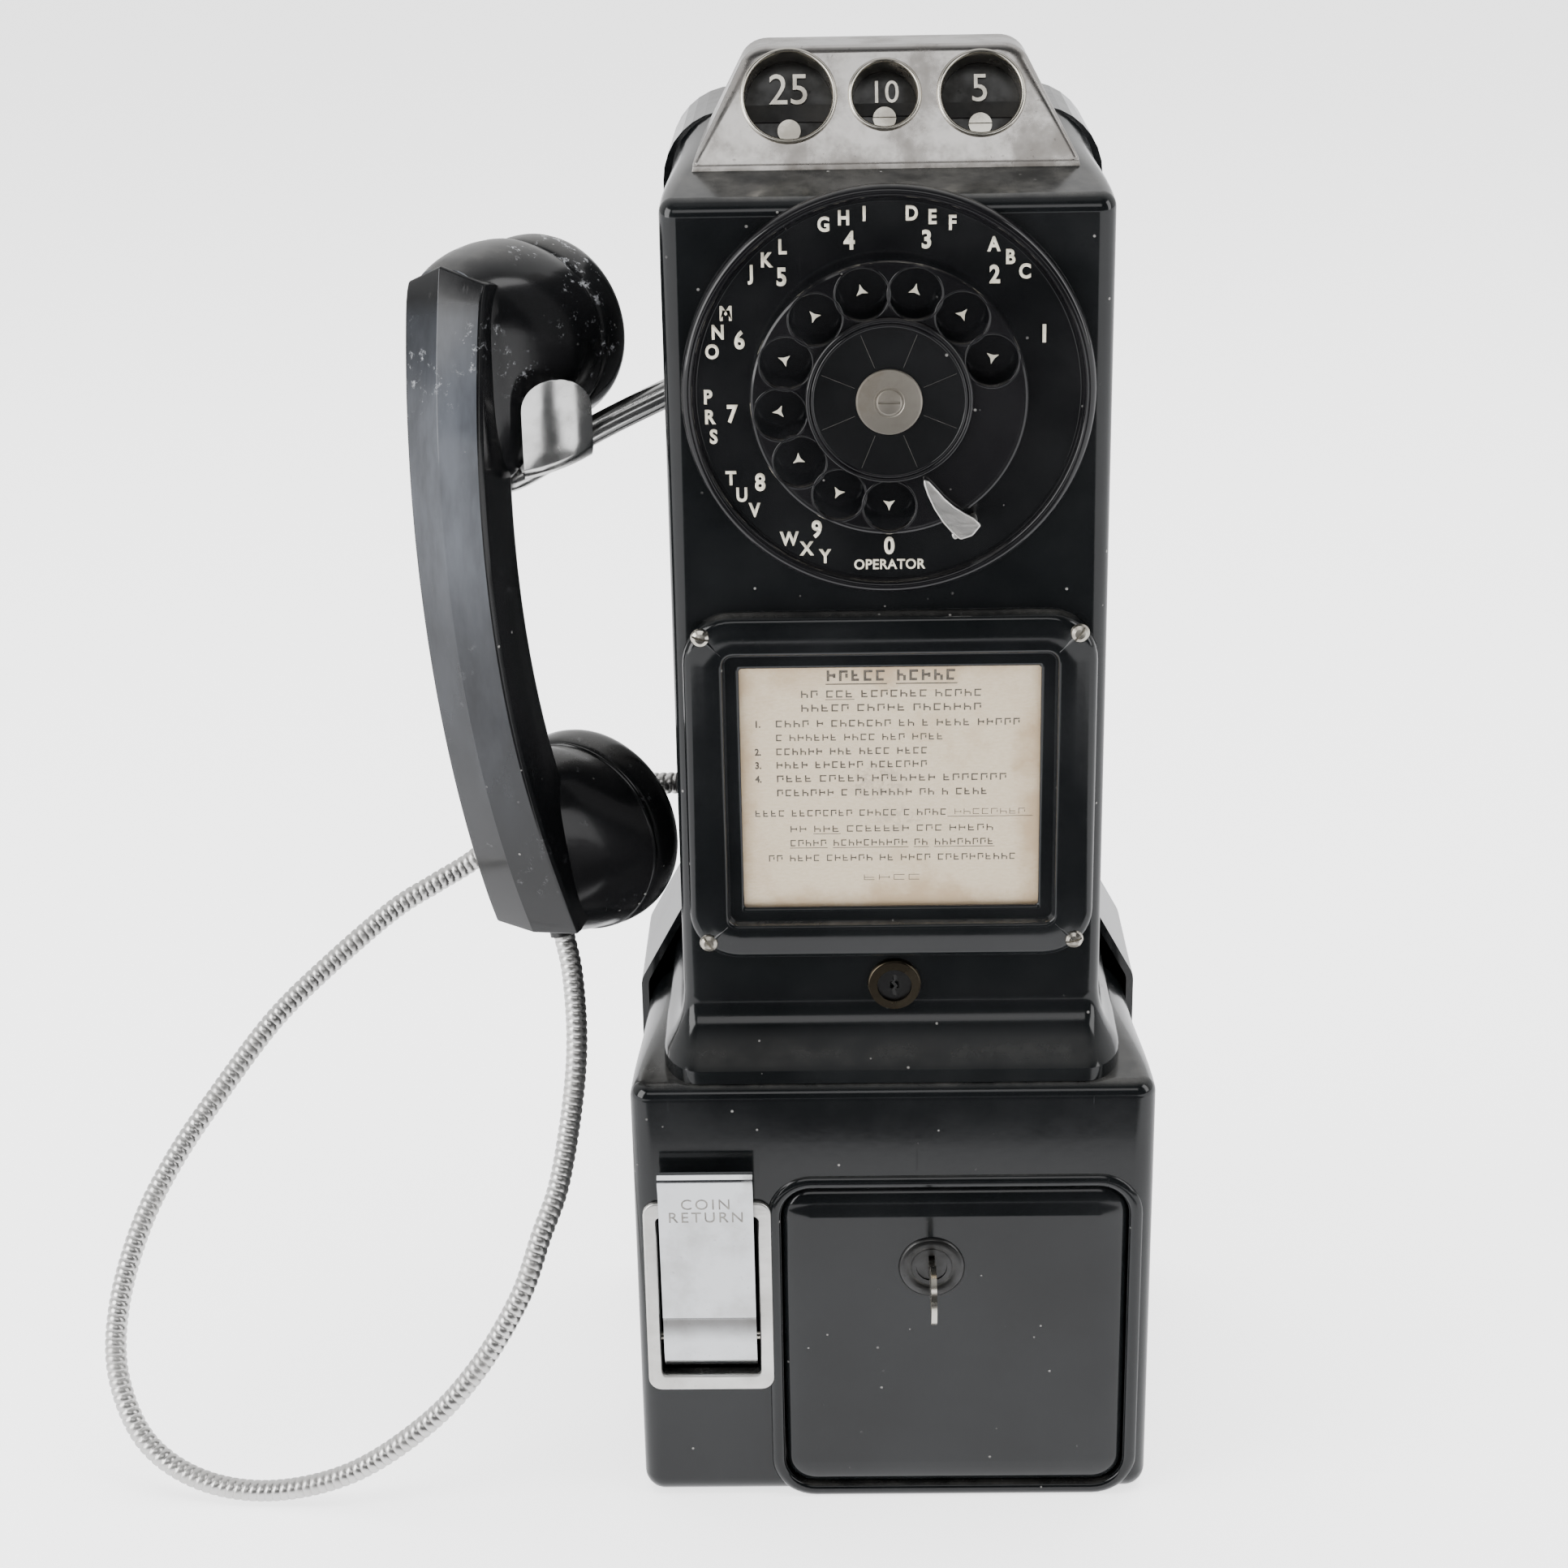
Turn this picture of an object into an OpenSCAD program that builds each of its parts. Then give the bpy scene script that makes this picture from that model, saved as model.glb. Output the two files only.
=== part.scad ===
// Wall payphone with three coin holes, a rotary dial and an armoured handset cord.
// Millimetres. +Z is up, the front faces -Y, +X is the right of a person facing it.
// The origin is the middle of the base, on the surface that the vault stands on.

/* [Housings] */
// Width of the vault, the lower housing
vault_w = 170; // [166:1:174]
// Height of the vault
vault_h = 155; // [153:1:157]
// Depth from the vault's front to the wall
body_d = 155; // [153:1:158]
// Width of the upper housing
upper_w = 135; // [132:1:136]
// Height of the front top edge of the upper housing
upper_h = 435; // [431:1:436]
// Rise of the upper housing's sloping top, from front to back
top_rise = 15; // [12:1:16]
// Distance from the vault's front back to the upper housing's front
step_back = 20; // [18:1:21]
// Depth of the pan that bolts to the wall
pan_d = 55; // [52:1:56]
// Thickness of the housings' walls
wall = 3.5; // [3:0.5:4]

/* [Dial] */
// Height of the dial's centre
dial_z = 378; // [376:1:380]
// Radius of the dial's outer ring
ring_r = 62; // [61:0.5:63]
// Radius of the finger wheel
wheel_r = 41.3; // [40.5:0.1:42]
// Radius of a finger hole
finger_r = 7.5; // [7:0.1:7.6]
// Radius of the circle that the finger holes lie on
finger_pcd_r = 32.5; // [32.2:0.1:33]
// Angle between two finger holes
finger_step = 27.7; // [27:0.1:28]

/* [Card frame] */
// Width of the instruction card's frame
frame_w = 129; // [127:1:130]
// Height of the frame
frame_h = 116; // [114:1:117]
// Height of the frame's centre
frame_z = 251; // [250:1:252]
// Width of the card's window
window_w = 98.5; // [96:0.5:100]
// Height of the card's window
window_h = 85; // [83:0.5:87]

/* [Coin return and vault door] */
// Distance from the centre line to the coin return's centre
return_x = 61; // [60:0.5:61]
// Width of the coin return's bezel
bezel_w = 42; // [41:0.5:42]
// Height of the bezel
bezel_h = 71; // [70:0.5:72]
// Side length of the vault door
door_s = 113; // [111:0.5:113.5]
// Distance from the centre line to the door's centre
door_x = 20; // [19.5:0.5:20.5]
// Height of the door's centre
door_z = 61.5; // [61:0.5:62]

/* [Handset] */
// Length of the handset
handset_l = 224; // [222:1:226]
// Turn of the handset about the vertical, caps towards the housing
handset_turn = 29; // [28:0.5:30]
// Lean of the handset, top away from the housing
handset_lean = 3.8; // [3.5:0.1:4.5]
// Diameter of the armoured cord
cord_d = 7.4; // [7:0.1:7.6]

/* [Hidden] */
$fn = 64;
slack = 0.35;      // gap between parts of different bodies
fit = 0.05;        // radial clearance of a running fit
deep = 0.01;       // thickness of a slice that a hull starts or ends on

front_y = -body_d / 2;
back_y = body_d / 2;
pan_y = back_y - pan_d;
face_y = front_y + step_back;
upper_top = upper_h + top_rise;
upper_d = pan_y - face_y;

dial_plate_y = face_y - 2.5;
wheel_back_y = face_y - 9;
wheel_front_y = wheel_back_y - 2.5;
card_r = 22.8;

gauge_w = 120;
gauge_top_w = 82.5;
gauge_y = face_y + 26;
gauge_z = upper_h + 4;
gauge_rise = 36;
gauge_run = 16;
gauge_tilt = atan2(gauge_rise, gauge_run);
gauge_hole_up = 23.4;
coin_x = [-29, 0, 29];
coin_hole_r = [13.2, 9.7, 11.95];
coin_rim_r = [14.5, 11, 13.3];
cup_depth = 9;

return_z = 78.5;
return_open_w = 33;
return_open_h = 60;
bezel_t = 1.6;
bucket_w = 30.4;
bucket_axis = [-return_x, front_y + 8, 58.5];

lock_x = 1;
lock_z = 182.5;
lock_r = 8.2;
door_lock = [12.4, 90];
door_lock_r = 10.5;

hook_axis = [-50, -12, 376];
gland = [-upper_w / 2, 14, 225];

handset_at = [-131.2, -47.7, 187.9];
ridge_r = 356;         // radius of the handle's arc
grip_w = 28;
grip_t = 26.4;
receiver_r = 29.7;
transmitter_r = 34.6;
cap_seat = 53.4;        // distance from the ridge line's plane to the seat of a cap
ridge_mid = 131.3;     // height along the handset of the middle of the ridge's arc
receiver_up = 194.7;
transmitter_up = 24.1;

// The cord's centre line: out of the housing, behind the handset, down to the surface
// that the vault stands on, and up into the handset's lower end.
CORD = [
    [-71.5, 14, 225], [-80, 15, 224.5], [-90, 19, 222.5], [-103, 27, 217.5], [-117, 36, 209.5],
    [-131, 43, 198.5], [-147, 46, 184], [-161, 43.5, 176], [-176, 40, 167.5], [-197.5, 31, 151.5],
    [-217.5, 19, 135], [-236, 4, 114], [-250.5, -12, 96], [-261, -27, 77.5], [-267, -44, 56],
    [-266, -58, 37], [-256, -69, 18], [-237, -76, 7], [-212, -79.5, 4.6], [-184, -80, 12],
    [-158.5, -77, 28.5], [-140.5, -71, 46.5], [-126, -62, 68.5], [-118.5, -53, 87.5],
    [-112.5, -44, 102.5], [-108, -32, 126], [-106, -26, 147.5], [-107, -20, 169],
    [-109.5, -16.5, 182]];
cord_sides = 8;
cord_rings = 2;        // rings in each stretch between two points

// ---------- helpers ----------

// Turns children so that their +Z points out of the front, towards -Y
module facing(x, y, z) translate([x, y, z]) rotate([90, 0, 0]) children();

// Ring standing out of the front: outer and inner radius, from y = 0 forward by h
module ring(ro, ri, h) difference() {
    cylinder(r = ro, h = h);
    translate([0, 0, -1]) cylinder(r = ri, h = h + 2);
}

module rounded_plate(w, h, r) offset(r = r, $fn = 32) square([w - 2 * r, h - 2 * r], center = true);

// Puts children, drawn in the handset's own frame, where the handset hangs.
// In that frame the ridge of the back faces -Y, the caps face +Y and the lower end is at z = 0.
module hung() translate(handset_at) rotate([0, -handset_lean, 0]) rotate([0, 0, -handset_turn])
    rotate([-2, 0, 0]) children();

// Turns children so that their +Z points out of the caps' faces, at a height along the handset
module capward(up, y) translate([0, y, up]) rotate([-90, 0, 0]) children();

// Turns children to stand on the coin gauge's sloping face
module on_gauge(x, up, out = 0)
    translate([x, gauge_y, gauge_z]) rotate([gauge_tilt, 0, 0]) translate([0, up, out]) children();

// Point of a Catmull-Rom curve through the points p, at stretch i and fraction t
function route(p, i, t) =
    let (n = len(p), a = p[max(i - 1, 0)], b = p[i], c = p[i + 1], d = p[min(i + 2, n - 1)])
    0.5 * (2 * b + (c - a) * t + (2 * a - 5 * b + 4 * c - d) * t * t + (3 * b - a - 3 * c + d) * t * t * t);
function unit(v) = v / norm(v);
// A direction square to the way d, turned by the angle a around it
function around(d, a) =
    let (s = unit(cross(d, [0.3, 1, 0.2])), u = cross(s, d)) s * cos(a) + u * sin(a);

// Tube of radius r along the points p
module tube_along(p, r) {
    line = [for (i = [0 : len(p) - 2]) for (k = [0 : cord_rings - 1]) route(p, i, k / cord_rings),
        p[len(p) - 1]];
    n = len(line);
    way = [for (i = [0 : n - 1]) unit(line[min(i + 1, n - 1)] - line[max(i - 1, 0)])];
    points = [for (i = [0 : n - 1]) for (k = [0 : cord_sides - 1])
        line[i] + r * around(way[i], k * 360 / cord_sides)];
    sides = [for (i = [0 : n - 2]) for (k = [0 : cord_sides - 1])
        let (a = i * cord_sides + k, b = i * cord_sides + (k + 1) % cord_sides)
        [a, a + cord_sides, b + cord_sides, b]];
    start = [for (k = [0 : cord_sides - 1]) k];
    end = [for (k = [cord_sides - 1 : -1 : 0]) (n - 1) * cord_sides + k];
    polyhedron(points, concat([start, end], sides));
}

// ---------- housings ----------

// Outline of the back pan, seen from the front
module pan_outline() {
    low_w = vault_w / 2 + 2;
    high_w = upper_w / 2 + 2.5;
    offset(r = 8, $fn = 32) polygon([
        [-low_w + 8, 8], [low_w - 8, 8], [low_w - 8, vault_h - 10], [high_w - 8, 176],
        [-high_w + 8, 176], [-low_w + 8, vault_h - 10]]);
    translate([0, 300]) rounded_plate(2 * high_w, 300, 22);
}

module back_pan() color([0.05, 0.06, 0.07]) difference() {
    facing(0, back_y, 0) linear_extrude(pan_d) pan_outline();
    facing(0, back_y - 3, 0) linear_extrude(pan_d) offset(delta = -2.5) pan_outline();
    for (x = [-41, 41], z = [95, 395]) facing(x, back_y + 1, z) cylinder(r = 4, h = 6);
    facing(0, back_y + 1, 330) cylinder(r = 12, h = 6);
}

// Screws that hold the coin mechanism's chute to the pan
module pan_screws() color([0.75, 0.73, 0.66])
    for (x = [-30, 30], z = [290, 415]) facing(x, back_y - 3, z) {
        cylinder(r = 3, h = 27);
        cylinder(r = 5.5, h = 3);
    }

// The vault as a solid, shrunk by inset: near-square at the front, more rounded at the back
module vault_block(inset) {
    w = vault_w / 2 - inset;
    r = 6 - inset / 2;
    back_r = 20 - inset;
    foot_r = 8 - inset;
    hull() {
        for (x = [-w + r, w - r], z = [inset + r, vault_h - inset - r])
            translate([x, front_y + inset + r, z]) sphere(r, $fn = 32);
        facing(0, pan_y, 0) linear_extrude(deep) {
            for (s = [-1, 1]) {
                translate([s * (w - back_r), vault_h - inset - back_r]) circle(back_r, $fn = 32);
                translate([s * (w - foot_r), inset + foot_r]) circle(foot_r, $fn = 32);
            }
        }
    }
}

module vault_housing() color([0.04, 0.05, 0.06]) difference() {
    vault_block(0);
    difference() {
        vault_block(wall);
        translate([-vault_w, front_y, -1]) cube([2 * vault_w, wall, vault_h + 2]);
    }
    translate([-vault_w / 2 + 20, pan_y - 4, 20]) cube([vault_w - 40, 5, vault_h - 44]);
    facing(door_x, front_y + 8, door_z) linear_extrude(20) rounded_plate(door_s + 1.2, door_s + 1.2, 11);
    facing(-return_x, front_y + 8, return_z) linear_extrude(20)
        rounded_plate(return_open_w, return_open_h, 1.5);
    coin_drop();
    screw_places() translate([0, 0, -8]) cylinder(r = 3, h = 16);
}

// The way through the vault's roof that the coin path goes down
module coin_drop() translate([-42, -22, vault_h - 8]) cube([84, 38, 20]);

// The skirt's flare: height, and share of the full spread, from the neck down to the foot
FLARE = [[175, 0], [172, 0.06], [169, 0.2], [166, 0.42], [163.5, 0.68], [161.5, 0.9], [160, 1], [vault_h, 1]];
skirt_side = 7;
skirt_front = step_back - 3;

// The skirt that spreads from the upper housing's neck over the vault's roof
module upper_skirt() {
    w = upper_w / 2;
    d = upper_d + skirt_front;
    intersection() {
        translate([0, pan_y, 0]) rotate([90, 0, 0]) linear_extrude(d) polygon(concat(
            [for (f = FLARE) [w + skirt_side * f[1], f[0]]],
            [for (i = [len(FLARE) - 1 : -1 : 0]) [-w - skirt_side * FLARE[i][1], FLARE[i][0]]]));
        translate([-vault_w / 2, 0, 0]) rotate([90, 0, 90]) linear_extrude(vault_w) polygon(concat(
            [for (f = FLARE) [face_y - skirt_front * f[1], f[0]]],
            [[pan_y, vault_h], [pan_y, FLARE[0][0]]]));
    }
}

// The upper housing as a solid, shrunk by inset
module upper_block(inset, low) {
    w = upper_w / 2 - inset;
    r = 5 - inset / 2;
    back_r = 22 - inset;
    hull() {
        for (x = [-w + r, w - r]) {
            translate([x, face_y + inset + r, upper_h - inset - r]) sphere(r, $fn = 32);
            translate([x, face_y + inset + r, low]) cylinder(r = r, h = deep, $fn = 32);
        }
        facing(0, pan_y, 0) linear_extrude(deep) {
            for (s = [-1, 1]) translate([s * (w - back_r), upper_top - inset - back_r])
                circle(back_r, $fn = 32);
            translate([-w, low]) square([2 * w, 1]);
        }
    }
}

module upper_housing() color([0.04, 0.05, 0.06]) difference() {
    union() {
        upper_block(0, vault_h);
        upper_skirt();
    }
    upper_block(wall, vault_h + 4);
    coin_drop();
    screw_places() translate([0, 0, -8]) cylinder(r = 3, h = 16);
    translate([-upper_w / 2 + 16, pan_y - 4, vault_h + 4]) cube([upper_w - 32, 5, upper_h - vault_h - 25]);
    facing(0, face_y + 8, dial_z) cylinder(r = 46, h = 20);
    facing(lock_x, face_y + 20, lock_z) cylinder(r = 7, h = 60);
    facing(lock_x, face_y, lock_z) cylinder(r = lock_r, h = 20);
    translate([-upper_w / 2 - 2, hook_axis[1] - 7, hook_axis[2] - 19]) cube([8, 14, 26]);
    translate([-upper_w / 2 - 2, gland[1], gland[2]]) rotate([0, 90, 0]) cylinder(r = 6, h = 8);
    for (x = coin_x) translate([x - 15, gauge_y + 4, upper_h - 10]) cube([30, 36, 24]);
}

// Machine screws up through the vault's roof into the upper housing's foot
module screw_places() for (x = [-55, 55], y = [-28, 5]) translate([x, y, vault_h]) children();

module housing_screws() color([0.75, 0.73, 0.66]) screw_places() translate([0, 0, -wall - 3]) {
    translate([0, 0, 1]) cylinder(r = 2.8, h = wall + 7);
    cylinder(r = 5, h = 2.95);
}

// ---------- coin gauge and coin path ----------

// The gauge as a solid, shrunk by inset
module gauge_block(inset) {
    r = 3 - inset / 2;
    low = inset * 5;
    w = gauge_w / 2 - inset;
    top_w = gauge_top_w / 2 - inset;
    hull() {
        for (s = [-1, 1]) {
            translate([s * (w - r), gauge_y + inset + r - low * gauge_run / gauge_rise, gauge_z - low + r])
                sphere(r, $fn = 32);
            translate([s * (w - r), gauge_y + 50 - inset - r, gauge_z + 10 - low]) sphere(r, $fn = 32);
            translate([s * (top_w - r), gauge_y + gauge_run + inset + r, gauge_z + gauge_rise - inset - r])
                sphere(r, $fn = 32);
            translate([s * (top_w - r), gauge_y + gauge_run + 16 - inset, gauge_z + gauge_rise - inset - r])
                sphere(r, $fn = 32);
        }
    }
}

module coin_gauge() color([0.62, 0.6, 0.56]) difference() {
    union() {
        gauge_block(0);
        for (i = [0 : 2]) on_gauge(coin_x[i], gauge_hole_up, -2) cylinder(r = coin_rim_r[i], h = 2.9);
    }
    gauge_block(2.4);
    upper_block(0, 200);
    for (i = [0 : 2]) on_gauge(coin_x[i], gauge_hole_up, -12) cylinder(r = coin_hole_r[i], h = 20);
}

module coin_cups() color([0.12, 0.12, 0.13])
    for (i = [0 : 2]) on_gauge(coin_x[i], gauge_hole_up, -2 - cup_depth) difference() {
        cylinder(r = coin_rim_r[i] - 0.1, h = cup_depth - 3);
        translate([0, 0, 1.5]) cylinder(r = coin_hole_r[i], h = cup_depth);
        translate([-coin_hole_r[i] * 0.8, -1.6, -1]) cube([coin_hole_r[i] * 1.6, 3.2, 4]);
    }

module gauge_screws() color([0.85, 0.84, 0.8])
    for (i = [0 : 2]) on_gauge(coin_x[i], gauge_hole_up - coin_hole_r[i] + 4.6, -0.5 - cup_depth)
        difference() {
            cylinder(r = 3.5, h = 1.8);
            if (i > 0) translate([-4, -0.4, 1.2]) cube([8, 0.8, 2]);
        }

module coin_chute() color([0.7, 0.65, 0.5]) {
    translate([-36, 0, 262]) difference() {
        cube([72, 18, 158]);
        for (i = [0 : 2]) translate([1.5 + i * 23.5, 1.5, -1]) cube([22, 15, 170]);
    }
    // brackets back to the pan
    for (x = [-30, 30], z = [290, 415]) translate([x - 5, 18, z - 5]) difference() {
        cube([10, back_y - 21 - 3, 10]);
        translate([5, 80, 5]) rotate([90, 0, 0]) cylinder(r = 3, h = 81);
    }
}

module coin_gongs() color([0.72, 0.6, 0.35]) for (at = [[-18, 330], [26, 345]]) facing(at[0], 66, at[1]) {
    rotate_extrude() polygon([[0, 14], [6, 14], [20, 9], [22, 0], [20.5, 0], [18.7, 7.8], [6, 12.4], [0, 12.4]]);
    translate([0, 0, -8.5]) cylinder(r = 3, h = 21);
}

module coin_hopper() color([0.6, 0.6, 0.58]) difference() {
    hull() {
        translate([-38, -2, 259.4]) cube([76, 24, 2.5]);
        translate([-22, 0, 205]) cube([44, 22, 2]);
    }
    hull() {
        translate([-36, 0, 260]) cube([72, 20, 2.5]);
        translate([-20, 2, 204]) cube([40, 18, 2]);
    }
}

module coin_relay() color([0.55, 0.42, 0.25]) {
    translate([-24, 24, 165]) cube([48, 3, 60]);
    for (x = [-12, 12]) translate([x, 38, 170]) {
        cylinder(r = 10, h = 44);
        cylinder(r = 11, h = 2);
        translate([0, 0, 42]) cylinder(r = 11, h = 2);
    }
    translate([-24, 27, 214]) cube([48, 22, 3]);
}

// ---------- dial ----------

module dial_ring() color([0.03, 0.04, 0.05]) facing(0, face_y, dial_z) rotate_extrude($fn = 128) polygon([
    [58.5, 0], [ring_r, 0], [ring_r, 3.4], [ring_r - 0.6, 4.4], [ring_r - 2, 5], [59.4, 4.6], [58.5, 3.8]]);

module number_plate() color([0.02, 0.02, 0.025]) facing(0, face_y, dial_z) ring(58.4, 10, 2.5, $fn = 128);

module dial_mechanism() color([0.55, 0.53, 0.48]) facing(0, face_y, dial_z) {
    translate([0, 0, -26]) ring(34, 4 + fit, 26);
    translate([0, 20, -38]) cylinder(r = 11, h = 12);
    translate([-18, -8, -34]) cube([10, 16, 8]);
}

module finger_stop() color([0.85, 0.85, 0.85]) rotate_y_at(29.5) {
    // post outside the wheel's rim, then the blade that curves in over the wheel
    facing(0, dial_plate_y, -44.5) difference() {
        translate([-4, -2.2, 0]) cube([8, 4.4, 13]);
    }
    facing(0, dial_plate_y - 10.4, 0) linear_extrude(1.6) difference() {
        polygon([[-4, -46.5], [4, -46.5], [3.6, -42], [0.6, -33], [-2.2, -25.6], [-3.6, -33], [-4.2, -41]]);
        translate([9.5, -33]) circle(r = 9);
    }
}

// Swings children about the dial's axis; the angle is counted from straight down towards +X
module rotate_y_at(a) translate([0, 0, dial_z]) rotate([0, -a, 0]) children();

module finger_wheel() color([0.02, 0.02, 0.025]) facing(0, wheel_back_y, dial_z) difference() {
    union() {
        cylinder(r = wheel_r, h = 2.5, $fn = 128);
        cylinder(r = 24.3, h = 3.4, $fn = 128);
        translate([0, 0, -5]) cylinder(r = 9, h = 6);
    }
    for (i = [0 : 9]) rotate(-i * finger_step) translate([0, -finger_pcd_r, -1]) cylinder(r = finger_r, h = 5);
    translate([0, 0, 2.8]) cylinder(r = card_r + 0.1, h = 2);
    translate([0, 0, -6]) cylinder(r = 4, h = 12);
}

module dial_shaft() color([0.7, 0.68, 0.6]) facing(0, face_y + 22, dial_z) {
    cylinder(r = 4, h = 31 + 2.8);
}

module dial_card() color([0.05, 0.05, 0.05]) facing(0, wheel_back_y - 2.8, dial_z) ring(card_r, 3, 0.5);

module dial_card_window() color([0.6, 0.65, 0.7, 0.4])
    facing(0, wheel_back_y - 3.3, dial_z) ring(card_r, 3, 0.6);

module dial_card_ring() color([0.02, 0.02, 0.025])
    facing(0, wheel_back_y - 3.4, dial_z) ring(24.3, card_r + 0.1, 1);

module dial_hub() color([0.55, 0.52, 0.47]) facing(0, wheel_back_y - 3.9, dial_z) difference() {
    union() {
        cylinder(r = 9.6, h = 1.3);
        translate([0, 0, -1.1]) cylinder(r = 2.9, h = 2);
    }
    translate([-4, -0.5, 0.8]) cube([8, 1, 1]);
}

// ---------- instruction card ----------

module card_frame() color([0.03, 0.035, 0.04]) facing(0, face_y, frame_z) difference() {
    union() {
        linear_extrude(3.4) rounded_plate(frame_w, frame_h, 7);
        linear_extrude(4.6) rounded_plate(frame_w - 3, frame_h - 3, 6);
        linear_extrude(5.6) rounded_plate(frame_w - 18, frame_h - 18, 3);
    }
    translate([0, 0, -1]) linear_extrude(8) rounded_plate(window_w, window_h, 1.5);
    translate([0, 0, 3.9]) linear_extrude(8) rounded_plate(window_w + 6, window_h + 6, 2);
    translate([0, 0, -1]) linear_extrude(2.6) rounded_plate(window_w + 5, window_h + 5, 2);
    for (x = [-1, 1], y = [-1, 1]) translate([x * 58.4, y * 51.5, -1]) cylinder(r = 1.6, h = 8);
}

module instruction_card() color([0.87, 0.8, 0.67])
    facing(0, face_y, frame_z) linear_extrude(0.6) square([window_w + 4, window_h + 4], center = true);

module card_window() color([0.8, 0.85, 0.88, 0.3])
    facing(0, face_y - 0.6, frame_z) linear_extrude(1) square([window_w + 4, window_h + 4], center = true);

module card_screws() color([0.7, 0.68, 0.62])
    for (x = [-1, 1], z = [-1, 1]) facing(x * 58.4, face_y - 4.6, frame_z + z * 51.5) difference() {
        union() {
            rotate_extrude() polygon([[0, 0], [3, 0], [2.6, 0.9], [1.6, 1.5], [0, 1.7]]);
            translate([0, 0, -4.6]) cylinder(r = 1.5, h = 5);
        }
        rotate(35 * x + 20 * z) translate([-4, -0.35, 0.9]) cube([8, 0.7, 2]);
    }

// ---------- locks ----------

module upper_lock_case() color([0.1, 0.09, 0.07]) facing(lock_x, face_y + 18, lock_z) {
    difference() {
        union() {
            cylinder(r = 6.9, h = 19);
            translate([0, 0, 18]) cylinder(r = lock_r, h = 2.4);
        }
        translate([0, 0, -1]) cylinder(r = 5.5 + fit, h = 30);
    }
}

module upper_lock_plug() color([0.12, 0.12, 0.12]) facing(lock_x, face_y + 22, lock_z) difference() {
    cylinder(r = 5.5, h = 23.4);
    translate([-0.5, -3.6, 20]) cube([1, 7.2, 6]);
    translate([-1.4, -1.2, 20]) cube([2.8, 2.4, 6]);
}

module upper_lock_cam() color([0.6, 0.58, 0.5]) facing(lock_x, face_y + 22, lock_z) difference() {
    translate([-7, -7, 0]) cube([14, 20, 3]);
    translate([0, 0, -1]) cylinder(r = 5.5, h = 6);
}

// ---------- coin return ----------

module return_bezel() color([0.78, 0.76, 0.7]) facing(-return_x, front_y, return_z) linear_extrude(bezel_t)
    difference() {
        rounded_plate(bezel_w, bezel_h, 3);
        rounded_plate(return_open_w, return_open_h, 1.5);
    }

module return_chute() color([0.1, 0.1, 0.1]) difference() {
    w = return_open_w + 0.2;
    translate([-return_x - w / 2 - 1, front_y + wall + 1, 42]) cube([w + 2, 39, 103]);
    translate([-return_x - w / 2, front_y + wall - 1, 44]) cube([w, 38, 64.5]);
    translate([-return_x - w / 2, front_y + 14, 100]) cube([w, 26, 60]);
    pin_rod(2, 60);
}

// A rod of radius r and length l along the bucket's pivot
module pin_rod(r, l) translate(bucket_axis) rotate([0, 90, 0]) cylinder(r = r, h = l, center = true);

module return_pin() color([0.7, 0.7, 0.68]) pin_rod(2, return_open_w + 2.2);

// Side of the bucket, a quarter round that closes the pocket when the bucket tips out
module bucket_cheek() rotate([90, 0, 90]) linear_extrude(1.2) difference() {
    intersection() {
        circle(r = 42);
        translate([-5, -4]) square([30, 50]);
    }
    circle(r = 2 + fit);
}

module return_bucket() color([0.85, 0.86, 0.88]) translate(bucket_axis) {
    for (x = [-bucket_w / 2, bucket_w / 2 - 1.2]) translate([x, 0, 0]) bucket_cheek();
    // front plate, bent at the foot and rolled at the finger lip
    translate([-bucket_w / 2, 0, 0]) rotate([90, 0, 90]) linear_extrude(bucket_w) polygon([
        [-9.6, -2], [-8.2, -2], [-9.8, 8], [-9.6, 11], [-14.8, 65], [-14.4, 67.5], [-13.2, 68.4],
        [-13.4, 70], [-16.2, 69.2], [-16.6, 66], [-11.2, 11], [-11.4, 8]]);
    // scoop that the coins lie in
    translate([-bucket_w / 2, 0, 0]) rotate([90, 0, 90]) linear_extrude(bucket_w) difference() {
        intersection() {
            circle(r = 9.8);
            translate([-12, -12]) square([24, 13]);
        }
        circle(r = 8.4);
    }
}

// ---------- vault door ----------

module vault_door() color([0.035, 0.04, 0.045]) difference() {
    union() {
        facing(door_x, front_y + 5, door_z) linear_extrude(4.4) rounded_plate(door_s, door_s, 10);
        hull() {
            facing(door_x, front_y + 1, door_z) linear_extrude(0.5) rounded_plate(door_s - 3, door_s - 3, 9);
            facing(door_x, front_y - 1.2, door_z) linear_extrude(0.5) rounded_plate(door_s - 14, door_s - 14, 6);
        }
    }
    facing(door_lock[0], front_y + 8, door_lock[1]) cylinder(r = 8, h = 20);
}

module vault_lock_case() color([0.05, 0.05, 0.055]) facing(door_lock[0], front_y, door_lock[1]) difference() {
    union() {
        translate([0, 0, 1.7]) cylinder(r = door_lock_r, h = 0.8);
        translate([0, 0, -22]) cylinder(r = 7.9, h = 24);
    }
    translate([0, 0, -30]) cylinder(r = 5 + fit, h = 40);
}

module vault_lock_plug() color([0.05, 0.05, 0.05])
    facing(door_lock[0], front_y, door_lock[1]) difference() {
        translate([0, 0, -27]) cylinder(r = 5, h = 29);
        translate([-1, -4, -10]) cube([2, 8, 20]);
    }

// Locking bar that the plug turns behind the door
module vault_lock_bar() color([0.6, 0.6, 0.58])
    facing(door_lock[0], front_y, door_lock[1]) translate([-8, -17, -26]) difference() {
        cube([16, 34, 3.4]);
        translate([8, 17, -1]) cylinder(r = 5, h = 6);
    }

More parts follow.
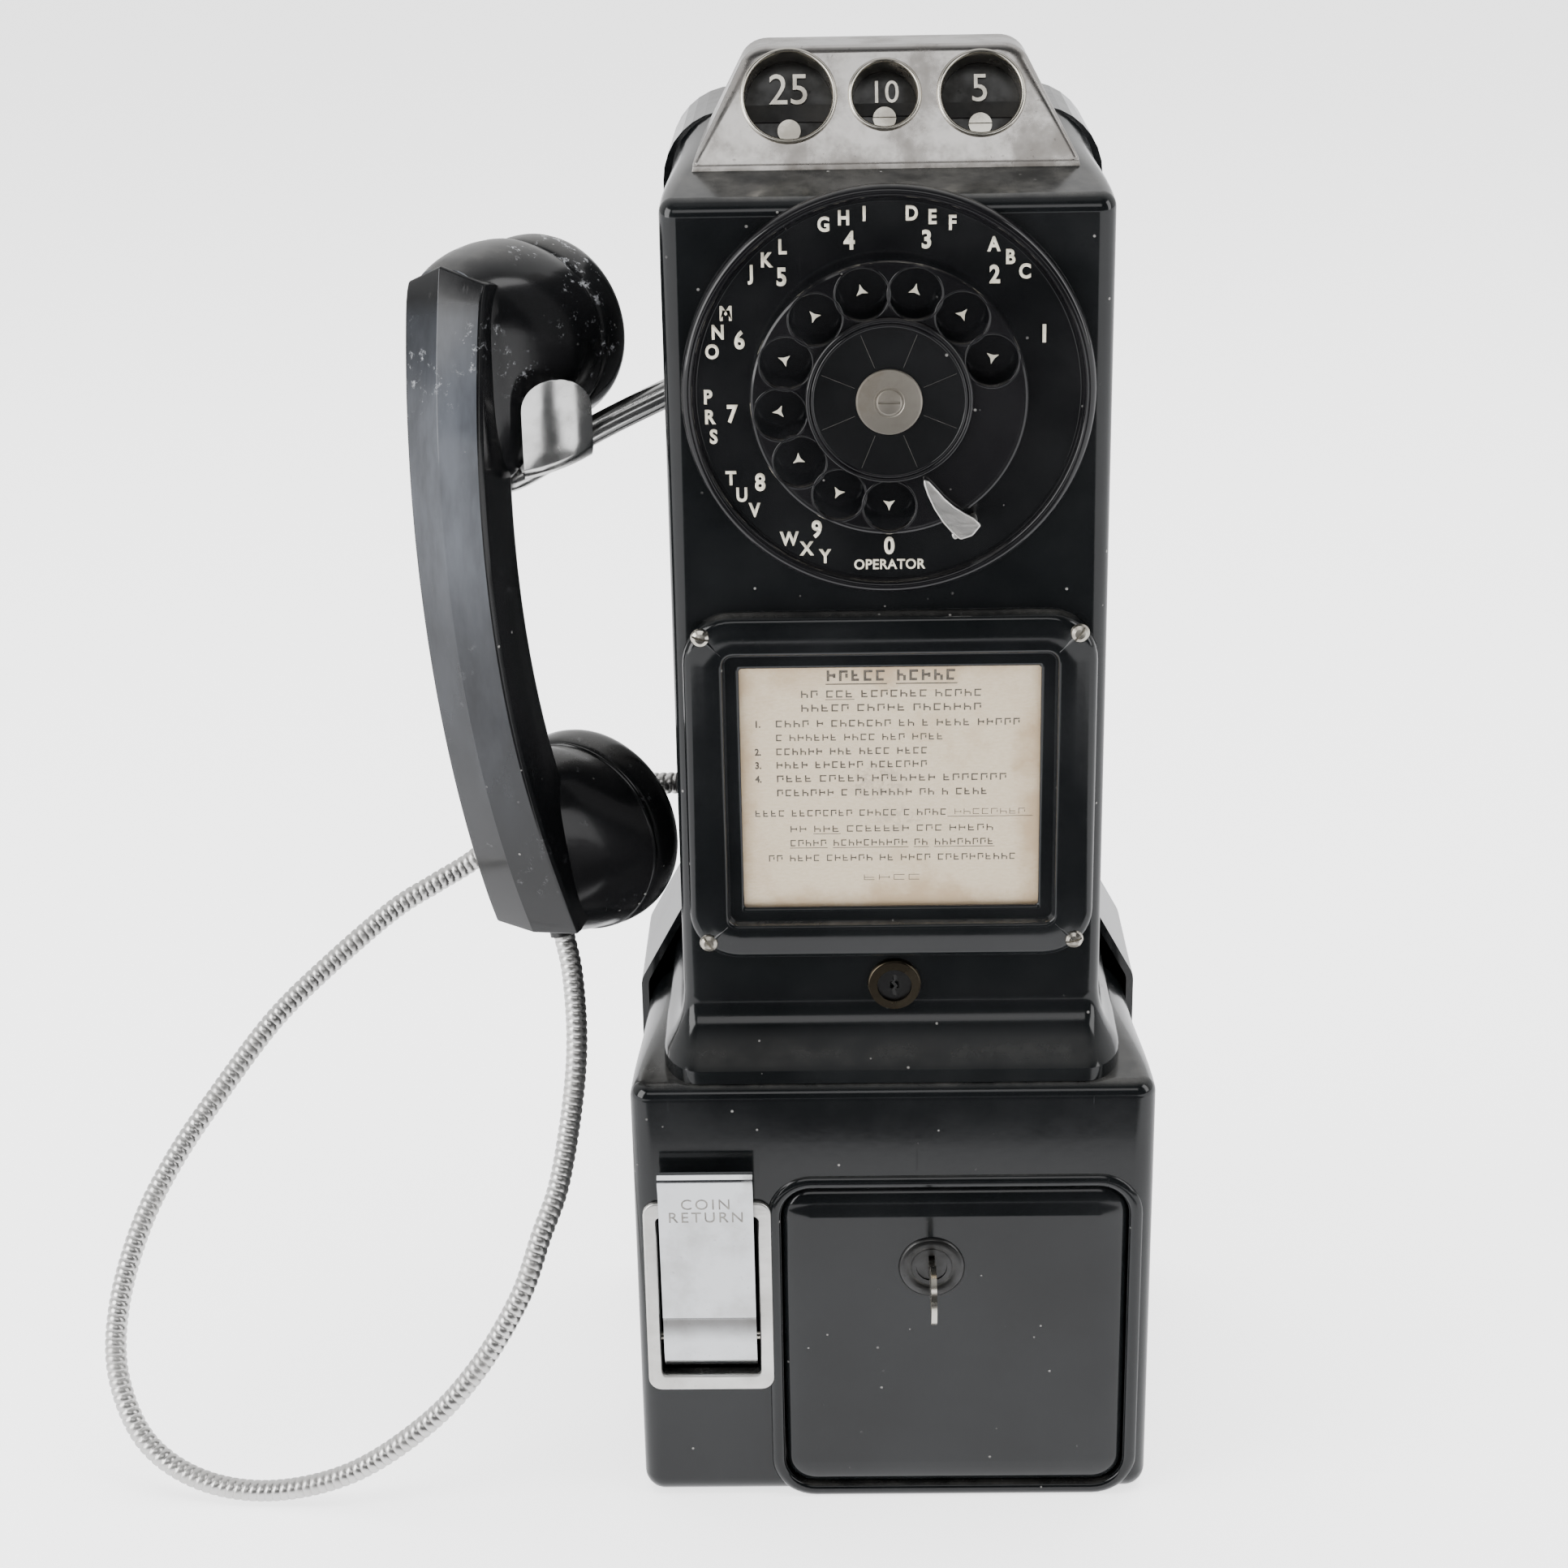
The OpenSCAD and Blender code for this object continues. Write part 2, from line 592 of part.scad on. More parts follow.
module vault_key() color([0.78, 0.75, 0.68]) facing(door_lock[0], front_y, door_lock[1])
    translate([-0.9, 0, 0]) rotate([0, -90, 180]) linear_extrude(1.8) difference() {
        union() {
            translate([-9, -3]) square([22, 6]);
            translate([20, 0]) scale([1, 1]) circle(r = 9.5);
            translate([10, -4.5]) square([6, 9]);
        }
        translate([25, 0]) circle(r = 2.2);
    }

module cash_box() color([0.62, 0.63, 0.65]) difference() {
    translate([door_x - 47.5, front_y + 33, 5]) cube([95, 62, 103.8]);
    translate([door_x - 46.3, front_y + 34.2, 6.2]) cube([92.6, 59.6, 110]);
}

// ---------- hook ----------

module hook_bracket() color([0.6, 0.6, 0.55]) {
    for (y = [-9, 6]) translate([0, hook_axis[1] + y, hook_axis[2]]) difference() {
        translate([hook_axis[0] - 7, 0, -14]) cube([14, 3, 22]);
        translate([hook_axis[0], -1, 0]) rotate([-90, 0, 0]) cylinder(r = 2.5, h = 5);
    }
    translate([hook_axis[0] - 7, hook_axis[1] - 9, hook_axis[2] - 16])
        cube([14, back_y - 3 - hook_axis[1] + 9, 2.5]);
}

module hook_pin() color([0.7, 0.7, 0.68])
    translate([hook_axis[0], hook_axis[1] - 10, hook_axis[2]]) rotate([-90, 0, 0]) cylinder(r = 2.5, h = 20);

// A round rod from point a to point b
module rod(a, b, r) {
    d = b - a;
    translate(a) rotate([0, acos(d[2] / norm(d)), atan2(d[1], d[0])]) cylinder(r = r, h = norm(d));
}

// The bends of the arm, from its pivot to the far end of the fork
ARM = [hook_axis, [-94, -13, 355.3], [-117, -16, 342.3], [-140.5, 3, 341]];

module hook_arm() color([0.8, 0.8, 0.8]) difference() {
    union() {
        for (i = [0 : 2]) rod(ARM[i], ARM[i + 1], 4.4);
        for (i = [1 : 3]) translate(ARM[i]) sphere(4.7, $fn = 32);
        translate([hook_axis[0], hook_axis[1] - 5.5, hook_axis[2]]) rotate([-90, 0, 0]) cylinder(r = 6.5, h = 11);
        translate([hook_axis[0], hook_axis[1] - 2, hook_axis[2] - 2]) cube([12, 4, 4]);
    }
    translate([hook_axis[0], hook_axis[1] - 12, hook_axis[2]]) rotate([-90, 0, 0]) cylinder(r = 2.5 + fit, h = 24);
}

// A rounded tab of the fork, standing on its lower edge
module fork_tab(w, h) rotate([90, 0, 0]) linear_extrude(2.4, center = true) {
    translate([-w / 2, 0]) square([w, h - w / 2]);
    intersection() {
        translate([0, h - w / 2]) circle(r = w / 2);
        translate([-w / 2, 0]) square([w, h]);
    }
}

module hook_fork() color([0.85, 0.85, 0.85]) {
    translate([-102.5, -31, 351.9]) rotate([0, 0, 12]) fork_tab(21, 25.5);
    translate([-107.5, -31.5, 350]) cube([10, 17.5, 3]);
    translate([-140.5, 6.5, 341]) rotate([0, 0, 40]) fork_tab(20, 25);
}

module hookswitch() color([0.7, 0.6, 0.35]) translate([hook_axis[0] + 7.2, hook_axis[1] + 13, hook_axis[2] - 13.5]) {
    cube([6.5, 24, 9]);
    // contact leaves that reach forward under the lever's tail
    for (i = [0 : 2]) translate([0.8, -12, 1 + 2.6 * i]) cube([4.8, 14, 0.8]);
}

module terminal_board() color([0.35, 0.2, 0.12]) {
    translate([-36, back_y - 13, 235]) cube([72, 10, 22]);
    for (i = [-3 : 3]) facing(i * 10, back_y - 13, 246) cylinder(r = 3, h = 3);
}

// ---------- cord ----------

module cord_gland() color([0.05, 0.05, 0.06]) translate(gland) rotate([0, -90, 0]) {
    translate([0, 0, -4.5]) cylinder(r = 5.9, h = 5);
    cylinder(r = 7.5, h = 3.4);
}

module handset_cord() color([0.72, 0.71, 0.69]) tube_along(CORD, cord_d / 2);

// ---------- handset ----------

// Section of the grip: x is the distance from the arc's centre to the back, y is across
module grip_section() polygon([
    [ridge_r, 0], [ridge_r - 2.8, grip_w / 2 - 1], [ridge_r - 5, grip_w / 2],
    [ridge_r - grip_t + 3, grip_w / 2 - 3], [ridge_r - grip_t, grip_w / 2 - 7],
    [ridge_r - grip_t, -grip_w / 2 + 7], [ridge_r - grip_t + 3, -grip_w / 2 + 3],
    [ridge_r - 5, -grip_w / 2], [ridge_r - 2.8, -grip_w / 2 + 1]]);

module handset_handle() {
    low = asin(ridge_mid / ridge_r);
    high = asin((handset_l - ridge_mid) / ridge_r);
    color([0.03, 0.03, 0.035]) hung() difference() {
        union() {
            translate([0, ridge_r, ridge_mid]) rotate([0, 90, 0]) rotate([0, 0, -90 - high])
                rotate_extrude(angle = low + high, $fn = 256) grip_section();
            capward(receiver_up, 20) cylinder(r1 = 16, r2 = receiver_r - 2, h = cap_seat - 20);
            capward(transmitter_up, 30) cylinder(r1 = 17, r2 = transmitter_r - 2, h = cap_seat - 30);
        }
        for (up = [transmitter_up, receiver_up]) capward(up, cap_seat - 14) cylinder(r = 21, h = 20);
    }
}

// Screw-on cap with a shallow dish and a domed rim
module cap(up, r) hung() capward(up, cap_seat) difference() {
    rotate_extrude($fn = 96) polygon([
        [0, 12], [0, 15], [10, 16.4], [r - 10, 17], [r - 5, 16.6], [r - 1.6, 14], [r, 10], [r - 0.6, 3],
        [r - 2, 0], [22, 0], [22, 12]]);
    for (i = [0 : 5]) rotate(i * 60) translate([8, 0, 10]) cylinder(r = 1.6, h = 12);
    translate([0, 0, 10]) cylinder(r = 1.6, h = 12);
}

module receiver_cap() color([0.03, 0.03, 0.035]) cap(receiver_up, receiver_r);
module transmitter_cap() color([0.03, 0.03, 0.035]) cap(transmitter_up, transmitter_r);

module receiver_capsule() color([0.7, 0.7, 0.7]) hung()
    capward(receiver_up, cap_seat - 12) cylinder(r = 20.5, h = 22);
module transmitter_capsule() color([0.7, 0.65, 0.5]) hung()
    capward(transmitter_up, cap_seat - 12) cylinder(r = 20.5, h = 20);

module cord_ferrule() color([0.1, 0.1, 0.1]) {
    last = CORD[len(CORD) - 1];
    way = unit(last - CORD[len(CORD) - 2]);
    rod(last + 0.35 * way, last + 10 * way, 4.6);
}

back_pan();
pan_screws();
vault_housing();
upper_housing();
housing_screws();
coin_gauge();
coin_cups();
gauge_screws();
coin_chute();
coin_gongs();
coin_hopper();
coin_relay();
dial_ring();
number_plate();
dial_mechanism();
finger_stop();
finger_wheel();
dial_shaft();
dial_card();
dial_card_window();
dial_card_ring();
dial_hub();
card_frame();
instruction_card();
card_window();
card_screws();
upper_lock_case();
upper_lock_plug();
upper_lock_cam();
return_bezel();
return_chute();
return_pin();
return_bucket();
vault_door();
vault_lock_case();
vault_lock_plug();
vault_lock_bar();
vault_key();
cash_box();
hook_bracket();
hook_pin();
hook_arm();
hook_fork();
hookswitch();
terminal_board();
cord_gland();
handset_cord();
handset_handle();
receiver_cap();
transmitter_cap();
receiver_capsule();
transmitter_capsule();
cord_ferrule();
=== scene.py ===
import math
import random

import bpy
import bmesh
import numpy as np
from mathutils import Matrix, Vector


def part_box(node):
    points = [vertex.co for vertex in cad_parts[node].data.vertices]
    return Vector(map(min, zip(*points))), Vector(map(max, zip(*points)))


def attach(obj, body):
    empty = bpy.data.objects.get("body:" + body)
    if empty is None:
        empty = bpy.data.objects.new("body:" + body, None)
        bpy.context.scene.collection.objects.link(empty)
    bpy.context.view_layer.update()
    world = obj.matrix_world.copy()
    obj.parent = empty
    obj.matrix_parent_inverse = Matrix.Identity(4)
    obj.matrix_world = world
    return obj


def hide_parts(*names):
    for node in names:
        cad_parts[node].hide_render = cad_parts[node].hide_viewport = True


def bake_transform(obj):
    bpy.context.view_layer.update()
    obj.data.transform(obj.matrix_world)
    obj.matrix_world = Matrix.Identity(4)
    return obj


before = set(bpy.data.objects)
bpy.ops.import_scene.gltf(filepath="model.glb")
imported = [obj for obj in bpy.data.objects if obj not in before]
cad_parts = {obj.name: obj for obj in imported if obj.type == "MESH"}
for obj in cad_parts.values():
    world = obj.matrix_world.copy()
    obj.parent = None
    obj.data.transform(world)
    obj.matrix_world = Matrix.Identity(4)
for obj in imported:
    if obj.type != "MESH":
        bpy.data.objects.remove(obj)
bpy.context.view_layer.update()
MM = 0.001
rad = math.radians

# ---- camera

CAMERA_AT = (-0.0159, -0.9159, 0.5876)
PITCH_DOWN, ROLL, YAW = 0.37255, 0.01905, -0.02051
LENS_MM, SENSOR_MM, CLIP_START = 67.09, 36, 0.05


def linked(name, data):
    """A new object in the scene."""
    o = bpy.data.objects.new(name, data)
    bpy.context.collection.objects.link(o)
    return o


def make_camera():
    """The photograph's viewpoint, looking about 21 degrees down."""
    level = math.cos(PITCH_DOWN)
    fwd = Vector((math.sin(YAW) * level, math.cos(YAW) * level, -math.sin(PITCH_DOWN)))
    right = Vector((math.cos(YAW), -math.sin(YAW), 0))
    up = right.cross(fwd)
    x = math.cos(ROLL) * right - math.sin(ROLL) * up
    y = math.sin(ROLL) * right + math.cos(ROLL) * up
    cam = linked("camera", bpy.data.cameras.new("camera"))
    m = Matrix((x, y, -fwd)).transposed().to_4x4()
    m.translation = Vector(CAMERA_AT)
    cam.matrix_world = m
    cam.data.sensor_width = SENSOR_MM
    cam.data.lens = LENS_MM
    cam.data.clip_start = CLIP_START
    bpy.context.scene.camera = cam


make_camera()

# ---- materials


class Nodes:
    """A node tree with short calls for what the materials and the world share."""

    def __init__(self, name, world=None):
        self.mat = world or bpy.data.materials.new(name)
        self.mat.use_nodes = True
        self.t = self.mat.node_tree
        self.b = self.t.nodes["Background" if world else "Principled BSDF"]
        self.pos = None

    def add(self, kind, out, values, **props):
        """A new node, its inputs set or linked; gives its output called out."""
        n = self.t.nodes.new("ShaderNode" + kind)
        for k, v in props.items():
            setattr(n, k, v)
        for k, v in values.items():
            if isinstance(v, bpy.types.NodeSocket):
                self.t.links.new(v, n.inputs[k])
            else:
                n.inputs[k].default_value = v
        return n.outputs[out]

    def set(self, **values):
        """Sets or links the shader's own inputs."""
        for k, v in values.items():
            name = k.replace("_", " ")
            for s in self.b.inputs:
                if s.name.lower() == name.lower():
                    if isinstance(v, bpy.types.NodeSocket):
                        self.t.links.new(v, s)
                    else:
                        s.default_value = (*v, 1) if isinstance(v, tuple) and len(v) == 3 else v

    def where(self, scale=(1, 1, 1), turn=(0, 0, 0)):
        if self.pos is None:
            self.pos = self.add("TexCoord", "Object", {})
        return self.add("Mapping", "Vector", {"Vector": self.pos, "Scale": scale, "Rotation": turn})

    def noise(self, size, detail=4.0, rough=0.55, scale=(1, 1, 1), turn=(0, 0, 0)):
        """Noise of a size in metres, stretched where scale is small."""
        return self.add("TexNoise", "Fac", {"Scale": 1 / size, "Detail": detail, "Roughness": rough,
                                            "Vector": self.where(scale, turn)})

    def cells(self, size):
        """How far the nearest of scattered points is."""
        return self.add("TexVoronoi", "Distance", {"Scale": 1 / size, "Vector": self.where()})

    def ramp(self, x, lo, hi, a=0.0, b=1.0):
        """A smooth step from a to b while x goes from lo to hi."""
        return self.add("MapRange", "Result", {"From Min": lo, "From Max": hi, "To Min": a,
                                               "To Max": b, "Value": x},
                        interpolation_type="SMOOTHSTEP")

    def math(self, op, x, y=0.0, clamp=False):
        return self.add("Math", 0, {0: x, 1: y}, operation=op, use_clamp=clamp)

    def times(self, x, *more):
        for y in more:
            x = self.math("MULTIPLY", x, y)
        return x

    def mix(self, fac, a, b):
        a, b = ((*v, 1) if isinstance(v, tuple) else v for v in (a, b))
        return self.add("Mix", "Result", {"Factor": fac, "A": a, "B": b}, data_type="RGBA")

    def facing(self, way):
        """How far a surface faces a way, 1 when it does."""
        normal = self.add("NewGeometry", "Normal", {})
        return self.add("VectorMath", "Value", {0: normal, 1: way}, operation="DOT_PRODUCT")

    def axis(self, which):
        return self.add("SeparateXYZ", which, {0: self.where()})

    def bump(self, *layers):
        """Each layer is (height, distance in mm)."""
        under = {}
        for h, mm in layers:
            values = {"Strength": 1.0, "Distance": mm * MM, "Height": h, **under}
            under = {"Normal": self.add("Bump", "Normal", values)}
        self.set(**under)


def black_gloss(name, base, dust=0.35, scuff_and_sheen=0.0, rough=(0.09, 0.2)):
    """Polished black: orange peel, hairlines, specks, dust that gathers on top faces.

    Scuff adds pale scratches towards the top, and a painted bluish highlight on the upper part of
    the long facet that faces front left.
    """
    m = Nodes(name)
    m.set(Roughness=0.12, IOR=1.46, Coat_Weight=0.12, Coat_Roughness=0.05)
    cloud = m.noise(0.05, 5)
    fine = m.noise(0.0022, 3)
    up = m.ramp(m.facing((0, 0, 1)), 0.72, 1)
    specks = m.ramp(m.cells(0.0065), 0.085, 0.05)
    specks = m.times(specks, m.ramp(m.noise(0.02, 2), 0.52, 0.6))
    haze = m.times(up, m.ramp(m.noise(0.012, 6, 0.7), 0.3, 0.75, 0.15, 1), dust)
    lines = m.ramp(m.noise(0.0016, 2, 0.5, scale=(1, 1, 0.05), turn=(0, 0.5, 0)), 0.68, 0.74)
    lines = m.times(lines, m.ramp(m.noise(0.03, 3), 0.5, 0.7))
    c = m.mix(m.ramp(cloud, 0.3, 0.7), base, tuple(v * 1.5 + 0.002 for v in base))
    c = m.mix(m.times(haze, 0.5), c, (0.25, 0.24, 0.22))
    c = m.mix(m.times(specks, 0.4), c, (0.45, 0.44, 0.42))
    if scuff_and_sheen:
        worn = m.ramp(m.noise(0.004, 7, 0.75), 0.56, 0.66)
        patch = m.ramp(m.noise(0.028, 3, 0.6), 0.5, 0.66)
        high = m.ramp(m.axis("Z"), 0.33, 0.41, 0.12, 1)
        c = m.mix(m.times(worn, patch, high, scuff_and_sheen), c, (0.42, 0.43, 0.45))
        # painted highlight: a bluish sheen on the upper part of the facet facing front left, where
        # light would fall on it
        back = m.ramp(m.facing((-0.48, -0.877, 0)), 0.94, 0.98)
        high = m.ramp(m.axis("Z"), 0.29, 0.33, 0.35, 1)
        streak = m.ramp(m.noise(0.02, 5, 0.6, scale=(1, 1, 0.3)), 0.32, 0.7, 0.35, 1)
        c = m.mix(m.times(back, high, streak, 0.16 * scuff_and_sheen), c, (0.44, 0.48, 0.56))
    m.set(Base_Color=c)
    r = m.ramp(cloud, 0.3, 0.75, *rough)
    r = m.math("ADD", r, m.times(haze, 0.35), True)
    r = m.math("ADD", r, m.times(lines, 0.15), True)
    m.set(Roughness=r)
    m.bump((m.noise(0.004, 2), 0.012), (fine, 0.004), (specks, 0.05), (lines, 0.01))
    return m.mat


def metal(name, base, dark, rough, grain=None, tarnish=0.4, darkening=None):
    """Bare or plated metal: grain along one way, tarnish clouds, darker pits."""
    m = Nodes(name)
    m.set(Metallic=1.0, Roughness=rough[0])
    cloud = m.ramp(m.noise(0.018, 6, 0.62), 0.38, 0.72)
    c = m.mix(m.times(cloud, tarnish), base, dark)
    pits = m.ramp(m.noise(0.0016, 3, 0.6), 0.66, 0.74)
    c = m.mix(m.times(pits, 0.5 * tarnish), c, tuple(v * 0.4 for v in dark))
    # a mask towards dark brown: a painted dark reflection on the coin return's flap, and a darker
    # lower edge on the gauge
    if darkening:
        c = m.mix(darkening(m), c, (0.05, 0.042, 0.032))
    m.set(Base_Color=c)
    r = m.ramp(cloud, 0, 1, *rough)
    layers = [(m.noise(0.0012, 2), 0.004)]
    if grain:
        g = m.noise(0.0006, 3, 0.6, scale=grain)
        r = m.math("ADD", r, m.ramp(g, 0.3, 0.7, -0.06, 0.08), True)
        layers.append((g, 0.006))
    m.set(Roughness=r)
    m.bump(*layers)
    return m.mat


def plain(name, base, other, rough, size=0.01):
    """Two shades in clouds of a size, a little uneven."""
    m = Nodes(name)
    m.set(Roughness=rough)
    n = m.noise(size, 5, 0.6)
    m.set(Base_Color=m.mix(m.ramp(n, 0.35, 0.7), base, other))
    m.set(Roughness=m.ramp(m.noise(size * 0.6, 3), 0.3, 0.7, rough * 0.85, min(1, rough * 1.2)))
    m.bump((n, 0.02))
    return m.mat


def paper_material():
    """A card browned towards its edges, with blots and two rubbed stains near the middle."""
    m = Nodes("aged_card")
    m.set(Roughness=0.75)
    fibre = m.noise(0.0007, 4, 0.7, scale=(0.35, 1, 1))
    blot = m.noise(0.016, 5, 0.62)
    half_w, half_h, mid_z = 0.0492, 0.0425, 0.251
    x = m.math("ABSOLUTE", m.math("DIVIDE", m.axis("X"), half_w))
    z = m.math("ABSOLUTE", m.math("DIVIDE", m.math("SUBTRACT", m.axis("Z"), mid_z), half_h))
    edge = m.math("MAXIMUM", x, z)
    edge = m.math("ADD", edge, m.ramp(blot, 0.2, 0.8, -0.16, 0.16))
    c = m.mix(m.ramp(fibre, 0.3, 0.7), (0.6, 0.49, 0.34), (0.67, 0.565, 0.42))
    c = m.mix(m.ramp(edge, 0.72, 1.02, 0, 0.75), c, (0.42, 0.29, 0.16))
    c = m.mix(m.ramp(blot, 0.56, 0.72, 0, 0.4), c, (0.46, 0.34, 0.2))
    for sx, sz, r, k in ((-0.004, 0.2525, 0.0075, 0.5), (0.0025, 0.2405, 0.006, 0.4)):
        dx = m.math("DIVIDE", m.math("SUBTRACT", m.axis("X"), sx), r * 1.6)
        dz = m.math("DIVIDE", m.math("SUBTRACT", m.axis("Z"), sz), r)
        d = m.math("ADD", m.times(dx, dx), m.times(dz, dz))
        spot = m.times(m.ramp(d, 1, 0.1), m.ramp(m.noise(0.0022, 5, 0.7), 0.42, 0.62), k)
        c = m.mix(spot, c, (0.3, 0.25, 0.2))
    m.set(Base_Color=c)
    m.bump((fibre, 0.02))
    return m.mat


def clear_material():
    m = Nodes("clear_window")
    m.set(Base_Color=(0.2, 0.2, 0.2), Alpha=0.07, IOR=1.46)
    m.set(Roughness=m.ramp(m.noise(0.01, 4), 0.3, 0.8, 0.04, 0.16))
    m.bump((m.noise(0.03, 2), 0.05))
    return m.mat


def gauge_lower_edge_dark(m):
    """Darker towards the gauge's lower edge, in patches."""
    return m.times(m.ramp(m.axis("Z"), 0.443, 0.4385), m.ramp(m.noise(0.01, 5), 0.3, 0.7, 0.4, 1))


def flap_painted_reflection(m):
    """A painted dark reflection, brownish, along the band where the coin return's flap bends."""
    return m.times(m.ramp(m.axis("Z"), 0.0615, 0.07), m.ramp(m.axis("Z"), 0.0725, 0.0705), 0.75)


MAT = {
    "black_enamel": black_gloss("enamel", (0.003, 0.0036, 0.004), rough=(0.1, 0.2)),
    "black_bakelite": black_gloss("bakelite", (0.003, 0.003, 0.0035), dust=0.3),
    "dial_black": black_gloss("dial_enamel", (0.003, 0.0033, 0.0037), dust=0.15),
    "brushed_nickel": metal("brushed_gauge", (0.6, 0.58, 0.56), (0.3, 0.275, 0.25), (0.2, 0.32),
                            tarnish=0.75, darkening=gauge_lower_edge_dark),
    "satin_nickel": metal("satin_plate", (0.9, 0.89, 0.86), (0.5, 0.47, 0.42), (0.34, 0.44),
                          grain=(0.06, 1, 1), tarnish=0.35),
    "brown_board": plain("phenolic_board", (0.13, 0.06, 0.03), (0.08, 0.04, 0.02), 0.45),
    "paper": paper_material(),
    "clear_plastic": clear_material(),
}
for slot, name, tarnish, rough, base, dark in (
        ("chrome", "chrome_plate", 0.25, (0.05, 0.14), (0.82, 0.83, 0.84), (0.5, 0.49, 0.46)),
        ("nickel", "nickel_plate", 0.5, (0.2, 0.34), (0.68, 0.65, 0.58), (0.36, 0.32, 0.25)),
        ("dark_steel", "blackened_steel", 0.7, (0.3, 0.45), (0.07, 0.07, 0.07),
         (0.025, 0.024, 0.022)),
        ("zinc_steel", "zinc_plate", 0.6, (0.32, 0.5), (0.56, 0.56, 0.54), (0.38, 0.36, 0.31)),
        ("armour_steel", "armour_strip", 0.3, (0.3, 0.42), (0.86, 0.85, 0.83), (0.56, 0.54, 0.5)),
        ("brass", "dull_brass", 0.6, (0.3, 0.45), (0.56, 0.43, 0.2), (0.25, 0.17, 0.08)),
        ("aged_brass", "blackened_brass", 0.7, (0.25, 0.4), (0.12, 0.1, 0.07),
         (0.04, 0.035, 0.028))):
    MAT[slot] = metal(name, base, dark, rough, tarnish=tarnish)
# scuff here adds both wear scratches and a painted highlight on one facet
HANDSET = black_gloss("handset_bakelite", (0.0032, 0.0034, 0.0038), dust=0.25, scuff_and_sheen=1.0,
                      rough=(0.12, 0.24))
WORN_CHROME = metal("worn_chrome", (0.84, 0.84, 0.83), (0.5, 0.48, 0.44), (0.16, 0.3), tarnish=0.35)
# the flap carries a painted dark reflection along its bend
FLAP = metal("flap_chrome", (0.8, 0.82, 0.84), (0.42, 0.41, 0.39), (0.1, 0.22), tarnish=0.5,
             darkening=flap_painted_reflection)
LENS = black_gloss("dark_lens", (0.004, 0.0042, 0.0045), dust=0.1, rough=(0.06, 0.12))
HUB_METAL = metal("dull_hub", (0.42, 0.39, 0.34), (0.24, 0.21, 0.17), (0.42, 0.55), tarnish=0.7)
CREAM = plain("cream_filling", (0.74, 0.7, 0.58), (0.62, 0.57, 0.44), 0.5, 0.004)
INK = plain("card_ink", (0.055, 0.045, 0.035), (0.12, 0.1, 0.075), 0.7, 0.002)
# painted shade: the grey of the stamped letters stands for the shade in their grooves
SHADE = plain("painted_groove_shade", (0.22, 0.21, 0.19), (0.12, 0.11, 0.1), 0.4, 0.003)
FAINT = plain("faint_line", (0.06, 0.055, 0.05), (0.03, 0.028, 0.025), 0.5, 0.003)
# painted shade: near-black for openings, on thin sheets in the coin slots and the keyway
HOLLOW_SHADE = plain("painted_hollow_shade", (0.008, 0.008, 0.008), (0.014, 0.013, 0.012), 0.6)

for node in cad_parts.values():
    for held in node.material_slots:
        slot = held.material.name.split(".")[0]
        if slot in MAT:
            held.material = MAT[slot]

# ---- mesh helpers


def mesh(name, verts, faces):
    """A mesh object from points in millimetres."""
    me = bpy.data.meshes.new(name)
    me.from_pydata([tuple(float(c) * MM for c in v) for v in verts], [], faces)
    me.validate()
    return linked(name, me)


def evaluated(o):
    """Its mesh as its modifiers or its curve make it."""
    bpy.context.view_layer.update()
    return bpy.data.meshes.new_from_object(o.evaluated_get(bpy.context.evaluated_depsgraph_get()))


def bake(o):
    """Applies the object's modifiers."""
    new = evaluated(o)
    o.modifiers.clear()
    o.data = new
    return o


def outward(o):
    """Merges doubled points and turns the faces outwards."""
    bm = bmesh.new()
    bm.from_mesh(o.data)
    bmesh.ops.remove_doubles(bm, verts=bm.verts, dist=1e-6)
    bmesh.ops.recalc_face_normals(bm, faces=bm.faces)
    bm.to_mesh(o.data)
    bm.free()
    return o


def smooth(o, angle, weighted):
    """Smooth shading with creases, flat faces kept flat."""
    o.data.shade_smooth()
    o.data.set_sharp_from_angle(angle=rad(angle))
    if weighted:
        w = o.modifiers.new("weighted", "WEIGHTED_NORMAL")
        w.keep_sharp = True
        bake(o)
    return o


def bevel(o, width, segments=3, angle=30):
    """Rounds edges sharper than an angle, to a width in millimetres."""
    b = o.modifiers.new("bevel", "BEVEL")
    b.width = width * MM
    b.segments = segments
    b.limit_method = "ANGLE"
    b.angle_limit = rad(angle)
    return bake(o)


def thicken(o, wall, offset):
    s = o.modifiers.new("wall", "SOLIDIFY")
    s.thickness, s.offset = wall * MM, offset
    return bake(o)


def boolean(o, cutters, operation="DIFFERENCE"):
    for c in cutters:
        m = o.modifiers.new("cut", "BOOLEAN")
        m.object = outward(c)
        m.operation = operation
        m.solver = "EXACT"
    bake(o)
    for c in cutters:
        bpy.data.objects.remove(c)
    return o


def done(o, body, slot, replaces="", mat=None, angle=35, weighted=True, flip=True):
    if flip:
        outward(o)
    smooth(o, angle, weighted)
    o.data.materials.clear()
    o.data.materials.append(mat or MAT[slot])
    if body:
        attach(o, body)
    if replaces:
        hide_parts(replaces)
    return o


def front_of(node):
    """A CAD node's front face, in millimetres along Y."""
    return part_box(node)[0].y / MM


def loft(rings, ends=(True, True)):
    """Points and faces of a skin over closed rings of equal length."""
    n = len(rings[0])
    verts = [p for r in rings for p in r]
    faces = []
    for k in range(len(rings) - 1):
        for i in range(n):
            j = (i + 1) % n
            a = k * n
            faces.append((a + i, a + j, a + n + j, a + n + i))
    if ends[0]:
        faces.append(tuple(range(n))[::-1])
    if ends[1]:
        faces.append(tuple(range((len(rings) - 1) * n, len(rings) * n)))
    return verts, faces


def place(verts, m):
    return [tuple(m @ Vector(v)) for v in verts]


